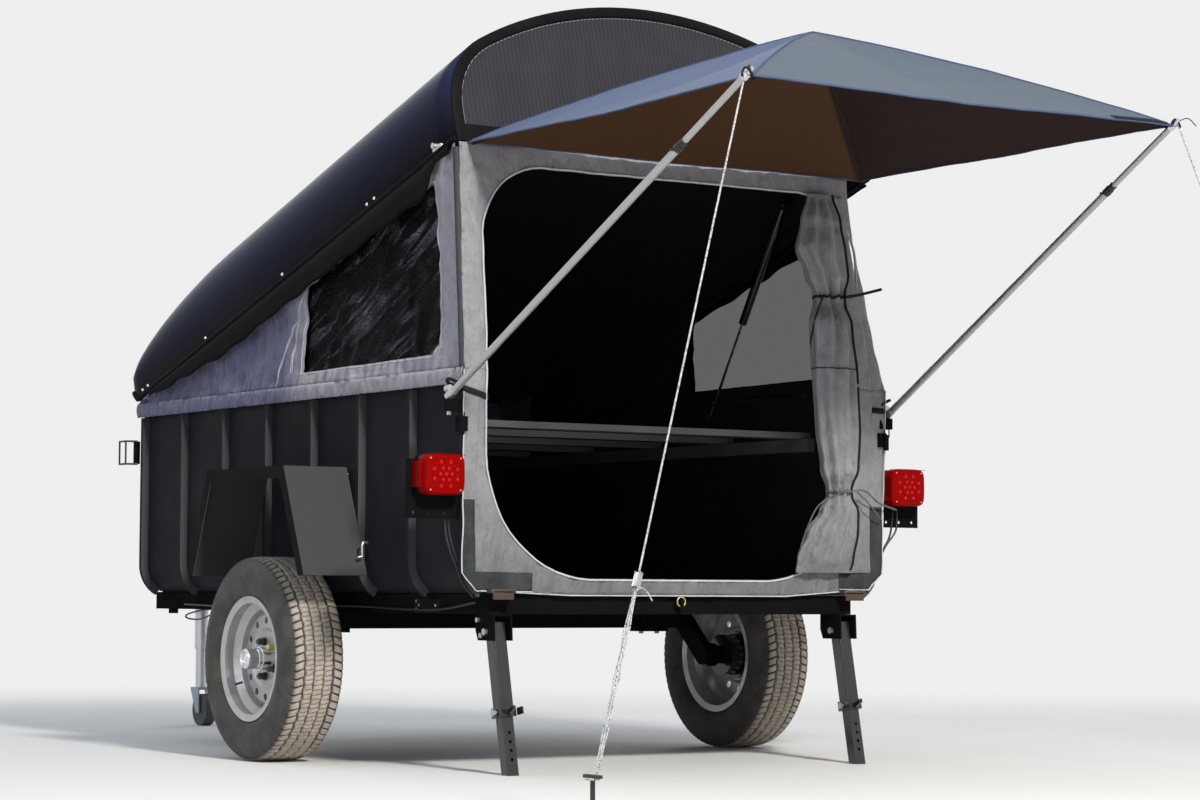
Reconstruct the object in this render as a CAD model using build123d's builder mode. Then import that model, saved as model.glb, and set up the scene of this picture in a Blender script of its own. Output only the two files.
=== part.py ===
from build123d import *
import math
import os

# Clamshell camping trailer with a ribbed tub, a hinged arched lid, tent walls and a hip awning.
# +X is the towing direction, +Y the left side, +Z up.
# The origin is on the ground, below the middle of the axle.
# All lengths are in millimetres and all angles in degrees.

# tub
tub_half = 766.0
tub_rear = -950.0
tub_front = 1300.0
tub_bottom = 525.0
rim_top = 1180.0
wall = 5.0
chine = 95.0
rib_count = 8
bay = (tub_front - tub_rear - 38.0) / (rib_count - 1)
rib_depth = 6.0
rib_sink = 20.0
rib_width = 16.0
skin_half = tub_half - rib_sink
post_side = 34.0

# wheels
tyre_radius = 319.0
tyre_width = 196.0
tread_width = 158.0
track_half = tub_half + 127.0
rim_seat_radius = 178.0
rim_flange_radius = 195.5
rim_half = 82.0
hub_cap_radius = 32.0
hub_cap_out = 100.0
disc_y = 10.0
vent_ring = 120.0
vent_radius = 11.0
vent_count = 12
axle_z = tyre_radius

# bed platform
bed_z = rim_top - 140.0
slat_wide = 70.0
slat_thick = 20.0
slat_first = tub_rear + 110.0
slat_step = 420.0
slat_count = 6
slat_right = 206.0 - tub_half
bearer_wide = 30.0
bearer_deep = 40.0
bearer_rear = tub_rear + 50.0
bearer_left = skin_half - 46.0

# lid
lid_angle = 16.75
lip_x = tub_front
lip_z = rim_top + 15.0
hinge_x = tub_front - 13.0
hinge_z = rim_top + 6.0
hinge_radius = 5.5
hinge_step = 480.0
lid_length = tub_front - tub_rear + 50.0
lid_half = tub_half + 4.0
lid_wall = 6.0
side_height = 114.0
crown_height = 518.0
end_thick = 8.0

# chassis
rail_y = tub_half - 116.0
rail_top = tub_bottom - 0.3
rail_depth = 59.0
rail_width = 40.0
rail_rear = tub_rear + 13.0
rail_front = tub_front + 42.0
member_x = [-500.0, 0.0, 520.0, 960.0]
member_wide = 40.0
member_deep = 50.0
beam_x = tub_rear + 25.0

# axle: a square torsion tube under the rails, with trailing arms down to the wheels
axle_x = 130.0
axle_side = 55.0
axle_top = rail_top - rail_depth - 0.3
arm_thick = 32.0
arm_eye = 34.0
arm_outer = track_half - tyre_width / 2 - 12.7
arm_inner = arm_outer - arm_thick
spindle_radius = 30.95
spindle_end = track_half + 38.0
saddle_side = 8.0
saddle_under = 12.0

# drawbar
drawbar_foot = tub_front - 290.0
drawbar_x = 2450.0
drawbar_y = 50.0
coupler_neck = 2500.0
coupler_end = 2630.0
ball_x = 2560.0
ball_radius = 25.4

# jack
jack_x = drawbar_x - 90.0
jack_y = 0.0
jack_wheel_radius = 62.0

# stabiliser legs
leg_x = beam_x
leg_y = tub_half - 129.0
leg_outer = 45.0
leg_inner = 38.4
leg_pivot_z = 415.0
leg_lean = 12.0
leg_boss = 26.5
leg_cheek = leg_boss + 3.3
leg_show = 170.0

# fenders
fender_outer = tub_half + 226.0
fender_top = 913.0
fender_bottom = 578.0
fender_sheet = 3.0
fender_lip = 35.0

# tent
cloth = 6.0
cloth_y = tub_half - 2.4
hem_z = rim_top - 42.0
rear_cloth_x = tub_rear - 0.3
door_half = tub_half - 76.0
window_drop = 96.3

# awning
awning_long = 1424.0
eave_rise = 677.0
peak_rise = 297.0
guy_back = 267.0
guy_out = 650.0
peg_high = 100.0
bow_radius = 4.5
eave_z = rim_top + eave_rise
peak_z = eave_z + peak_rise
awning_front = tub_rear + 43.0
awning_rear = awning_front - awning_long
awning_half = tub_half - 31.0
pole_foot = (tub_rear + 5.0, tub_half + 46.0, rim_top - 79.0)
guy_ground = (awning_rear - guy_back, awning_half + guy_out)

a = math.radians(lid_angle)
lid_frame = Plane(
    origin=(lip_x, 0, lip_z), x_dir=(-math.cos(a), 0, math.sin(a)), z_dir=(0, 1, 0)
)


def lid_point(s, y, h):
    """Point at distance s back along the lip, across y, and h above the lip."""
    x = lip_x - s * math.cos(a) + h * math.sin(a)
    z = lip_z + s * math.sin(a) + h * math.cos(a)
    return (x, y, z)


def save(part, label):
    part.label = label
    export_step(part, "parts/" + label + ".step")


os.makedirs("parts", exist_ok=True)

# Wheels: tyre, rim with disc, and hub with its cap
sides = [("left", 1), ("right", -1)]
half_t = tyre_width / 2
half_tread = tread_width / 2
for side, sign in sides:
    across = Plane(origin=(0, sign * track_half, axle_z), x_dir=(1, 0, 0), z_dir=(0, -sign, 0))
    # Section plane: local x is the radius, local y points outwards
    section = Plane(origin=(0, sign * track_half, axle_z), x_dir=(1, 0, 0), z_dir=(0, 0, sign))
    with BuildPart() as tyre:
        with BuildSketch(section):
            with BuildLine():
                Polyline(
                    (rim_seat_radius + 0.3, -rim_half + 9),
                    (rim_flange_radius + 2, -rim_half + 3),
                    (rim_flange_radius + 9, -rim_half - 6),
                    (258, -half_t),
                    (296, -half_t + 7),
                    (tyre_radius - 8, -half_tread - 4),
                    (tyre_radius, -half_tread + 12),
                    (tyre_radius, half_tread - 12),
                    (tyre_radius - 8, half_tread + 4),
                    (296, half_t - 7),
                    (258, half_t),
                    (rim_flange_radius + 9, rim_half + 6),
                    (rim_flange_radius + 2, rim_half - 3),
                    (rim_seat_radius + 0.3, rim_half - 9),
                    close=True,
                )
            make_face()
        revolve(axis=Axis((0, sign * track_half, axle_z), (0, 1, 0)))
    save(tyre.part, "tyre_" + side)

    with BuildPart() as rim:
        with BuildSketch(section):
            with BuildLine():
                Polyline(
                    (rim_flange_radius, -rim_half),
                    (rim_seat_radius, -rim_half + 6),
                    (rim_seat_radius, -48),
                    (rim_seat_radius - 20, -30),
                    (rim_seat_radius - 20, 30),
                    (rim_seat_radius, 48),
                    (rim_seat_radius, rim_half - 6),
                    (rim_flange_radius, rim_half),
                    (rim_flange_radius, rim_half + 3),
                    (rim_seat_radius - 4, rim_half - 2),
                    (rim_seat_radius - 4, 50),
                    (rim_seat_radius - 24, 32),
                    (rim_seat_radius - 24, -32),
                    (rim_seat_radius - 4, -50),
                    (rim_seat_radius - 4, -rim_half + 2),
                    (rim_flange_radius, -rim_half - 3),
                    close=True,
                )
            make_face()
        revolve(axis=Axis((0, sign * track_half, axle_z), (0, 1, 0)))
        with BuildSketch(section):
            with BuildLine():
                Polyline(
                    (34, disc_y),
                    (88, disc_y),
                    (100, disc_y + 8),
                    (134, disc_y + 8),
                    (rim_seat_radius - 24, disc_y - 4),
                    (rim_seat_radius - 24, disc_y + 2),
                    (136, disc_y + 14),
                    (98, disc_y + 14),
                    (86, disc_y + 6),
                    (34, disc_y + 6),
                    close=True,
                )
            make_face()
        revolve(axis=Axis((0, sign * track_half, axle_z), (0, 1, 0)))
        with BuildSketch(across.offset(-60)):
            with PolarLocations(vent_ring, vent_count):
                Circle(vent_radius)
        extrude(amount=60, mode=Mode.SUBTRACT)
    save(rim.part, "rim_" + side)

    with BuildPart() as hub:
        with BuildSketch(section):
            with BuildLine():
                Polyline(
                    (31, -60),
                    (70, -60),
                    (70, disc_y - 15),
                    (82, disc_y - 15),
                    (82, disc_y - 0.3),
                    (33.5, disc_y - 0.3),
                    (33.5, 60),
                    (hub_cap_radius, 62),
                    (hub_cap_radius, hub_cap_out - 4),
                    (hub_cap_radius - 4, hub_cap_out),
                    (24, hub_cap_out),
                    (22, hub_cap_out - 6),
                    (0, hub_cap_out - 6),
                    (0, 40),
                    (31, 40),
                    close=True,
                )
            make_face()
        revolve(axis=Axis((0, sign * track_half, axle_z), (0, 1, 0)))
    save(hub.part, "hub_" + side)

# Axle tube under the side rails
tube_z = axle_top - axle_side / 2
with BuildPart() as axle_beam:
    with BuildSketch(Plane.XZ.offset(-arm_inner + 0.3)):
        with Locations((axle_x, tube_z)):
            RectangleRounded(axle_side, axle_side, 5)
    extrude(amount=2 * arm_inner - 0.6)
save(axle_beam.part, "axle_beam")

# Trailing arms from the tube's ends to the hubs, each with its spindle
with BuildPart() as arms:
    for side, sign in sides:
        with BuildSketch(Plane(origin=(0, sign * arm_inner, 0), x_dir=(1, 0, 0), z_dir=(0, sign, 0))):
            with Locations((axle_x, -sign * tube_z), (0, -sign * axle_z)):
                Circle(arm_eye)
            make_hull()
        extrude(amount=arm_thick)
        with BuildSketch(Plane(origin=(0, sign * arm_outer, axle_z), z_dir=(0, sign, 0))):
            Circle(spindle_radius)
        extrude(amount=spindle_end - arm_outer)
save(arms.part, "axle_arms")

# Chassis: side rails and cross members
with BuildPart() as rails:
    for side, sign in sides:
        with BuildSketch(Plane.YZ.offset(rail_rear)):
            with Locations((sign * rail_y, rail_top - rail_depth / 2)):
                Rectangle(rail_width, rail_depth)
        extrude(amount=rail_front - rail_rear)
save(rails.part, "side_rails")

inner_span = 2 * (rail_y - rail_width / 2) - 0.6
with BuildPart() as cross_members:
    for x in member_x:
        with BuildSketch(Plane.XY.offset(rail_top)):
            with Locations((x, 0)):
                Rectangle(member_wide, inner_span)
        extrude(amount=-member_deep)
save(cross_members.part, "cross_members")

with BuildPart() as rear_beam:
    with BuildSketch(Plane.YZ.offset(beam_x - 12)):
        with Locations((0, rail_top - rail_depth / 2)):
            Rectangle(inner_span, rail_depth)
    extrude(amount=24)
    with BuildSketch(Plane.XZ.offset(-5)):
        with Locations((beam_x - 26, rail_top - 26.7)):
            Circle(20)
    extrude(amount=10)
    with BuildSketch(Plane.XZ.offset(-6)):
        with Locations((beam_x - 26, rail_top - 26.7)):
            Circle(11)
    extrude(amount=12, mode=Mode.SUBTRACT)
save(rear_beam.part, "rear_beam")

# Drawbar: two converging tubes from the rails to the coupler
rail_inner = rail_y - rail_width / 2 - 0.3
with BuildPart() as drawbar:
    for side, sign in sides:
        with BuildSketch(Plane.XY.offset(rail_top - 2)):
            with BuildLine():
                Polyline(
                    (drawbar_foot, sign * rail_inner),
                    (drawbar_foot + 60, sign * rail_inner),
                    (drawbar_x, sign * drawbar_y),
                    (drawbar_x, sign * 0.5),
                    (drawbar_x - 12, sign * 0.5),
                    (drawbar_foot + 60, sign * (rail_inner - 54)),
                    (drawbar_foot, sign * (rail_inner - 29)),
                    close=True,
                )
            make_face()
        extrude(amount=-rail_depth + 4)
    with BuildSketch(Plane.XY.offset(rail_top - 2)):
        with Locations((jack_x, jack_y)):
            Rectangle(90, 200)
            Circle(26.3, mode=Mode.SUBTRACT)
    extrude(amount=8)
save(drawbar.part, "drawbar")

with BuildPart() as coupler:
    with BuildSketch(Plane.XY.offset(rail_top - 2)):
        with BuildLine():
            Polyline(
                (drawbar_x + 0.3, -46),
                (coupler_neck, -40),
                (coupler_end - 40, -42),
                (coupler_end, -20),
                (coupler_end, 20),
                (coupler_end - 40, 42),
                (coupler_neck, 40),
                (drawbar_x + 0.3, 46),
                close=True,
            )
        make_face()
    extrude(amount=-60)
    with BuildSketch(Plane.XY.offset(rail_top - 62)):
        with Locations((ball_x, 0)):
            Circle(ball_radius)
    extrude(amount=42, mode=Mode.SUBTRACT)
save(coupler.part, "coupler")

# Tub: floor, two ribbed sides and the front wall
floor_half = skin_half - chine
with BuildPart() as tub_floor:
    with BuildSketch(Plane.XY.offset(tub_bottom)):
        with Locations(((tub_rear + tub_front - wall) / 2, 0)):
            Rectangle(tub_front - wall - tub_rear - 0.6, 2 * floor_half - 0.6)
    extrude(amount=wall)
save(tub_floor.part, "tub_floor")

with BuildPart() as tub_side:
    for side, sign in sides:
        with BuildSketch(Plane.YZ.offset(tub_rear)):
            with BuildLine():
                cy = sign * floor_half
                cz = tub_bottom + chine
                k = math.sqrt(0.5)
                Line((sign * skin_half, rim_top), (sign * skin_half, cz))
                ThreePointArc(
                    (sign * skin_half, cz),
                    (cy + sign * chine * k, cz - chine * k),
                    (cy, tub_bottom),
                )
                Line((cy, tub_bottom), (cy, tub_bottom + wall))
                r = chine - wall
                ThreePointArc(
                    (cy, tub_bottom + wall),
                    (cy + sign * r * k, cz - r * k),
                    (sign * (skin_half - wall), cz),
                )
                Line((sign * (skin_half - wall), cz), (sign * (skin_half - wall), rim_top))
                Line((sign * (skin_half - wall), rim_top), (sign * skin_half, rim_top))
            make_face()
        extrude(amount=tub_front - tub_rear - wall - 0.3)
        with BuildSketch(Plane.YZ.offset(tub_rear)):
            with Locations((sign * (skin_half - 1 + tub_half) / 2, (rim_top + hem_z) / 2 + 2)):
                Rectangle(rib_sink + 1, rim_top - hem_z - 4)
        extrude(amount=tub_front - tub_rear - wall - 0.3)
        for i in range(rib_count):
            x = tub_rear + i * bay
            if i == 0:
                x = tub_rear + rib_width / 2
            with BuildSketch(Plane.YZ.offset(x - rib_width / 2)):
                with BuildLine():
                    r = chine + rib_sink + rib_depth
                    Line((sign * (skin_half - 1), hem_z - 2), (sign * (tub_half + rib_depth), hem_z - 2))
                    Line((sign * (tub_half + rib_depth), hem_z - 2), (sign * (tub_half + rib_depth), cz))
                    ThreePointArc(
                        (sign * (tub_half + rib_depth), cz),
                        (cy + sign * r * k, cz - r * k),
                        (cy + sign * r * 0.5, cz - r * math.sqrt(0.75)),
                    )
                    r2 = chine - 1
                    Line(
                        (cy + sign * r * 0.5, cz - r * math.sqrt(0.75)),
                        (cy + sign * r2 * 0.5, cz - r2 * math.sqrt(0.75)),
                    )
                    ThreePointArc(
                        (cy + sign * r2 * 0.5, cz - r2 * math.sqrt(0.75)),
                        (cy + sign * r2 * k, cz - r2 * k),
                        (sign * (skin_half - 1), cz),
                    )
                    Line((sign * (skin_half - 1), cz), (sign * (skin_half - 1), hem_z - 2))
                make_face()
            extrude(amount=rib_width)
save(tub_side.part, "tub_sides")

with BuildPart() as tub_front_wall:
    with BuildSketch(Plane.YZ.offset(tub_front - wall)):
        with BuildLine():
            Polyline(
                (-tub_half, rim_top),
                (-tub_half, hem_z + 4),
                (-skin_half, hem_z + 4),
                (-skin_half, tub_bottom + chine),
                (-floor_half, tub_bottom),
                (floor_half, tub_bottom),
                (skin_half, tub_bottom + chine),
                (skin_half, hem_z + 4),
                (tub_half, hem_z + 4),
                (tub_half, rim_top),
                close=True,
            )
        make_face()
    extrude(amount=wall)
save(tub_front_wall.part, "tub_front")

# Corner posts of the open rear end
with BuildPart() as rear_posts:
    for side, sign in sides:
        with BuildSketch(Plane.XY.offset(tub_bottom + chine)):
            with Locations((tub_rear + post_side / 2, sign * (skin_half - wall - 0.3 - post_side / 2))):
                Rectangle(post_side, post_side)
        extrude(amount=rim_top - tub_bottom - chine)
save(rear_posts.part, "rear_posts")

# Bed platform: two bearers along the tub, and the slats across them
with BuildPart() as bed_bearers:
    for y in (slat_right + bearer_wide / 2 + 5, bearer_left):
        with BuildSketch(Plane.YZ.offset(bearer_rear)):
            with Locations((y, bed_z - slat_thick - bearer_deep / 2)):
                Rectangle(bearer_wide, bearer_deep)
        extrude(amount=tub_front - wall - 60 - bearer_rear)
save(bed_bearers.part, "bed_bearers")

slat_left = skin_half - wall - 0.3
with BuildPart() as bed_slats:
    for i in range(slat_count):
        with BuildSketch(Plane.XY.offset(bed_z - slat_thick + 0.3)):
            with Locations((slat_first + i * slat_step, (slat_right + slat_left) / 2)):
                Rectangle(slat_wide, slat_left - slat_right)
        extrude(amount=slat_thick - 0.3)
save(bed_slats.part, "bed_slats")

# Fenders: bent sheet with a turned lip along the open outer side
fender_profile = [
    (-388, fender_bottom),
    (-248, fender_top),
    (278, fender_top),
    (412, fender_bottom),
]
with BuildPart() as fender:
    for side, sign in sides:
        with BuildSketch(Plane.XZ.offset(-sign * (tub_half + rib_depth + 0.6))):
            with BuildLine():
                Polyline(fender_profile)
                offset(amount=fender_sheet, side=Side.LEFT)
            make_face()
        extrude(amount=-sign * (fender_outer - tub_half - rib_depth - 0.6))
        with BuildSketch(Plane.XZ.offset(-sign * (fender_outer - fender_sheet))):
            with BuildLine():
                Polyline(
                    (-388, fender_bottom),
                    (-248, fender_top),
                    (278, fender_top),
                    (412, fender_bottom),
                    (412 - fender_lip, fender_bottom),
                    (278 - 0.7 * fender_lip, fender_top - fender_lip),
                    (-248 + 0.7 * fender_lip, fender_top - fender_lip),
                    (-388 + fender_lip, fender_bottom),
                    close=True,
                )
            make_face()
        extrude(amount=-sign * fender_sheet)
save(fender.part, "fenders")

# Rear lamp brackets and lamps
lamp_x = tub_rear - 51.0
lamp_y = tub_half + 89.0
lamp_z = rim_top - 310.0
lamp_wide = 134.0
lamp_high = 119.0
lamp_deep = 68.0
lens_deep = 46.0
plate_wide = 180.0 + rib_sink
plate_high = 172.0
lamp_back = lamp_x + lamp_deep + 0.3
with BuildPart() as lamp_brackets:
    for side, sign in sides:
        with BuildSketch(Plane.YZ.offset(lamp_back)):
            with Locations((sign * (skin_half + 0.3 + plate_wide / 2), lamp_z + 45 - plate_high / 2)):
                Rectangle(plate_wide, plate_high)
            for reach in (52, 104, 156):
                with Locations((sign * (tub_half + reach), lamp_z - 110)):
                    Circle(5, mode=Mode.SUBTRACT)
        extrude(amount=4)
        with BuildSketch(Plane.XY.offset(lamp_z + 45 - plate_high)):
            with Locations((lamp_back + 26, sign * (skin_half + 2.3))):
                Rectangle(52, 4)
        extrude(amount=plate_high)
save(lamp_brackets.part, "lamp_brackets")

with BuildPart() as lamps:
    for side, sign in sides:
        with BuildSketch(Plane.YZ.offset(lamp_x)):
            with Locations((sign * lamp_y, lamp_z)):
                RectangleRounded(lamp_wide - 6, lamp_high - 6, 8)
        with BuildSketch(Plane.YZ.offset(lamp_x + 9)):
            with Locations((sign * lamp_y, lamp_z)):
                RectangleRounded(lamp_wide, lamp_high, 10)
        loft()
        with BuildSketch(Plane.YZ.offset(lamp_x + 9)):
            with Locations((sign * lamp_y, lamp_z)):
                RectangleRounded(lamp_wide, lamp_high, 10)
        extrude(amount=lens_deep - 9)
        with BuildSketch(Plane.XZ.offset(-sign * (lamp_y + lamp_wide / 2 - 1))):
            with Locations((lamp_x + 12 + (lens_deep - 14) / 2, lamp_z)):
                Rectangle(lens_deep - 14, 76)
        extrude(amount=-sign * 8)
save(lamps.part, "rear_lamps")

with BuildPart() as lamp_housings:
    for side, sign in sides:
        with BuildSketch(Plane.YZ.offset(lamp_x + lens_deep + 0.3)):
            with Locations((sign * lamp_y, lamp_z)):
                RectangleRounded(lamp_wide - 8, lamp_high - 8, 8)
        extrude(amount=lamp_deep - lens_deep - 0.3)
save(lamp_housings.part, "lamp_housings")

# Lid shell: arched section, rounded nose, open below and at the rear
nose_start = -26.0
nose_end = 760.0
nose_steps = [-26, -17, 0, 35, 90, 170, 280, 420, 590, 760]


def nose_size(s):
    """Base height, half width, side height and crown height at s along the lip."""
    base = 40.0 if s < 0 else 0.0
    rise = math.sqrt(max(0.0, 1 - ((nose_end - s) / (nose_end - nose_start)) ** 2))
    spread = 1.0
    if s < 220:
        spread = math.sqrt(max(0.0, 1 - ((220 - s) / (220 - nose_start)) ** 2))
    half = lid_half - 60 + 60 * spread
    crown = 150 + (crown_height - 150) * rise
    return (base, half, side_height - 16 * (1 - rise), crown)


def lid_section(base, half, side_top, crown, inset):
    """Closed arched wire at one station, as points on a plane square to the lip."""
    w = half - inset
    z0 = side_top
    c = crown - inset
    z1 = z0 + (c - z0) * 0.577
    mid = (w * 0.953, z0 + (c - z0) * 0.3335)
    Line((-w, base), (w, base))
    Line((w, base), (w, z0))
    ThreePointArc((w, z0), mid, (w * 0.826, z1))
    ThreePointArc((w * 0.826, z1), (0, c), (-w * 0.826, z1))
    ThreePointArc((-w * 0.826, z1), (-mid[0], mid[1]), (-w, z0))
    Line((-w, z0), (-w, base))


def lid_plane(s):
    return Plane(
        origin=lid_point(s, 0, 0), x_dir=(0, 1, 0), z_dir=(math.cos(a), 0, -math.sin(a))
    )


with BuildPart() as lid_shell:
    for station in nose_steps:
        with BuildSketch(lid_plane(station)):
            with BuildLine():
                lid_section(*nose_size(station), 0)
            make_face()
    loft(ruled=True)
    with BuildSketch(lid_plane(nose_end)):
        with BuildLine():
            lid_section(*nose_size(nose_end), 0)
        make_face()
    extrude(amount=-(lid_length - nose_end))
    for station in nose_steps[2:]:
        with BuildSketch(lid_plane(station + 7)):
            with BuildLine():
                lid_section(-1, *nose_size(station)[1:], lid_wall)
            make_face()
    loft(ruled=True, mode=Mode.SUBTRACT)
    with BuildSketch(lid_plane(nose_end + 7)):
        with BuildLine():
            lid_section(-1, *nose_size(nose_end)[1:], lid_wall)
        make_face()
    extrude(amount=-(lid_length - nose_end), mode=Mode.SUBTRACT)
save(lid_shell.part, "lid_shell")

# Ribbed end panel that closes the rear of the lid
with BuildPart() as lid_end:
    with BuildSketch(lid_plane(lid_length - 2)):
        with BuildLine():
            lid_section(*nose_size(nose_end), lid_wall + 0.3)
        make_face()
    extrude(amount=end_thick)
save(lid_end.part, "lid_end_panel")

# Lid hinges inside the front rim: barrel with its lower leaf, and the lid's leaf
hinge_rows = (-hinge_step, 0, hinge_step)
leaf = 3.0
with BuildPart() as hinge_lower:
    for y in hinge_rows:
        with BuildSketch(Plane.XZ.offset(-y - 50)):
            with Locations((hinge_x, hinge_z)):
                Circle(hinge_radius)
            with Locations((tub_front - wall - 0.3 - leaf / 2, hinge_z - 30)):
                Rectangle(leaf, 58)
        extrude(amount=100)
save(hinge_lower.part, "hinge_lower_leaves")

with BuildPart() as hinge_upper:
    for y in hinge_rows:
        with BuildSketch(Plane(origin=lid_point(0, y - 50, 0), x_dir=(-math.cos(a), 0, math.sin(a)), z_dir=(0, 1, 0))):
            with Locations((9.3, 21.7)):
                Rectangle(4, 56.6)
        extrude(amount=100)
save(hinge_upper.part, "hinge_upper_leaves")

# Hem of the tent cloth around the outside of the rim
with BuildPart() as rim_hem:
    for side, sign in sides:
        with BuildSketch(Plane.XY.offset(hem_z)):
            with Locations(((tub_rear + tub_front) / 2, sign * (tub_half + 3))):
                Rectangle(tub_front - tub_rear, 5)
        extrude(amount=rim_top + 6 - hem_z)
save(rim_hem.part, "rim_hem")

# Side walls of the tent, each with its window
lip_gap = 0.3


def under_lip(x):
    """Point on the window's upper edge, which runs along the lip."""
    return (x, lip_z + (lip_x - x) * math.tan(a) - window_drop)


window = [
    under_lip(tub_rear + 992),
    under_lip(tub_rear + 186),
    (tub_rear + 152, rim_top + 84),
    (tub_rear + 190, rim_top + 54),
    (tub_rear + 1017, rim_top + 48),
]
with BuildPart() as side_cloth:
    for side, sign in sides:
        with BuildSketch(Plane.XZ.offset(-sign * cloth_y)):
            with BuildLine():
                f = lid_point(95, 0, -lip_gap)
                b = lid_point(lid_length - 12, 0, -lip_gap)
                Polyline(
                    (f[0], rim_top + 0.3),
                    (f[0], f[2]),
                    (b[0], b[2]),
                    (tub_rear + 6, rim_top + 0.3),
                    close=True,
                )
            make_face()
            with BuildLine():
                Polyline(window, close=True)
            make_face(mode=Mode.SUBTRACT)
        extrude(amount=sign * cloth)
save(side_cloth.part, "side_cloths")

# Rear wall of the tent in two stretches: below and above the rim
lower_rear = Plane(origin=(rear_cloth_x, 0, 0), x_dir=(0, -1, 0), z_dir=(-1, 0, 0))
lid_end = lid_point(lid_length, 0, 0)
rear_run = lid_end[0] - rear_cloth_x + 2.1
rear_rise = lid_end[2] - rim_top - 3.6
rear_slope = math.hypot(rear_run, rear_rise)
lean = math.atan2(rear_run, rear_rise)
upper_rear = Plane(
    origin=(rear_cloth_x, 0, rim_top + 0.3),
    x_dir=(0, -1, 0),
    z_dir=(-math.cos(lean), 0, math.sin(lean)),
)
with BuildPart() as rear_lower:
    with BuildSketch(lower_rear):
        with BuildLine():
            Polyline(
                (-tub_half - 4, rim_top),
                (-tub_half - 4, tub_bottom + 60),
                (38 - tub_half, tub_bottom + 10),
                (366 - tub_half, tub_bottom - 3),
                (tub_half - 366, tub_bottom - 3),
                (tub_half - 38, tub_bottom + 10),
                (tub_half + 4, tub_bottom + 60),
                (tub_half + 4, rim_top),
                close=True,
            )
        make_face()
        with BuildLine():
            foot = (door_half - 360, tub_bottom + 47)
            bend = (door_half - 100, tub_bottom + 165)
            shin = tub_bottom + 405
            Line((-door_half, rim_top + 1), (-door_half, shin))
            ThreePointArc((-door_half, shin), (-bend[0], bend[1]), (-foot[0], foot[1]))
            Line((-foot[0], foot[1]), foot)
            ThreePointArc(foot, bend, (door_half, shin))
            Line((door_half, shin), (door_half, rim_top + 1))
            Line((door_half, rim_top + 1), (-door_half, rim_top + 1))
        make_face(mode=Mode.SUBTRACT)
    extrude(amount=cloth)
save(rear_lower.part, "rear_cloth_lower")

with BuildPart() as rear_upper:
    with BuildSketch(upper_rear):
        with BuildLine():
            Polyline(
                (6 - tub_half, 0),
                (tub_half - 6, 0),
                (tub_half - 14, rear_slope),
                (14 - tub_half, rear_slope),
                close=True,
            )
        make_face()
        with BuildLine():
            head = (door_half - 240, rear_slope - 61)
            curve = (door_half - 60, rear_slope - 126)
            cheek = rear_slope - 276
            Line((-door_half, -1), (-door_half, cheek))
            ThreePointArc((-door_half, cheek), (-curve[0], curve[1]), (-head[0], head[1]))
            Line((-head[0], head[1]), head)
            ThreePointArc(head, curve, (door_half, cheek))
            Line((door_half, cheek), (door_half, -1))
            Line((door_half, -1), (-door_half, -1))
        make_face(mode=Mode.SUBTRACT)
    extrude(amount=cloth)
save(rear_upper.part, "rear_cloth_upper")

# Rolled door flap, tied at the right edge of the opening
roll_y = 115.0 - door_half
with BuildPart() as roll_lower:
    with BuildSketch(Plane.XY.offset(tub_bottom + 75)):
        with Locations((rear_cloth_x - cloth - 40.3, roll_y)):
            Ellipse(40, 75)
    with BuildSketch(Plane.XY.offset(rim_top - 320)):
        with Locations((rear_cloth_x - cloth - 35.3, roll_y - 5)):
            Ellipse(35, 42)
    with BuildSketch(Plane.XY.offset(rim_top)):
        with Locations((rear_cloth_x - cloth - 40.3, roll_y)):
            Ellipse(40, 80)
    loft()
save(roll_lower.part, "door_roll_lower")

with BuildPart() as roll_upper:
    with BuildSketch(Plane.XY.offset(rim_top + 0.3)):
        with Locations((rear_cloth_x - cloth - 40.6, roll_y)):
            Ellipse(40, 80)
    with BuildSketch(Plane.XY.offset(rim_top + 290)):
        with Locations((rear_cloth_x - cloth - 20, roll_y)):
            Ellipse(35, 65)
    with BuildSketch(Plane.XY.offset(rim_top + rear_rise - 74)):
        with Locations((rear_cloth_x - cloth - 2, roll_y)):
            Ellipse(35, 85)
    loft(ruled=True)
save(roll_upper.part, "door_roll_upper")

# Awning: four cloth panels on two crossed bows
mid_x = (awning_front + awning_rear) / 2
span_x = awning_front - awning_rear
eave_rows = [
    (eave_z, 1.0),
    (eave_z + 0.5 * (peak_z - eave_z) + 18, 0.5),
    (peak_z, 0.012),
]
with BuildPart() as awning:
    for z, scale in eave_rows:
        with BuildSketch(Plane.XY.offset(z)):
            with Locations((mid_x, 0)):
                Rectangle(span_x * scale, 2 * awning_half * scale)
    loft(ruled=True)
    for z, scale in eave_rows:
        with BuildSketch(Plane.XY.offset(z - 7)):
            with Locations((mid_x, 0)):
                Rectangle(span_x * scale - 2, 2 * awning_half * scale - 2)
    loft(ruled=True, mode=Mode.SUBTRACT)
save(awning.part, "awning_cloth")

# Crossed bows under the awning's hips
bow_drop = 7 + 1.18 * bow_radius + 0.3
peak = Vector(mid_x, 0, peak_z - bow_drop - 2)
with BuildPart() as bows:
    for sx in (-1, 1):
        for sy in (-1, 1):
            low_z, low_scale = eave_rows[0]
            mid_z, mid_scale = eave_rows[1]
            reach = Vector(sx * span_x / 2, sy * awning_half, 0)
            end = Vector(mid_x, 0, low_z - bow_drop) + reach * 0.985
            elbow = Vector(mid_x, 0, mid_z - bow_drop) + reach * mid_scale
            for start, stop in ((end, elbow), (elbow, peak)):
                run = stop - start
                with BuildSketch(Plane(origin=start, z_dir=run)):
                    Circle(bow_radius)
                extrude(amount=run.length)
            with Locations(elbow):
                Sphere(bow_radius)
    with Locations(peak):
        Sphere(bow_radius + 1)
save(bows.part, "awning_bows")

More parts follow.
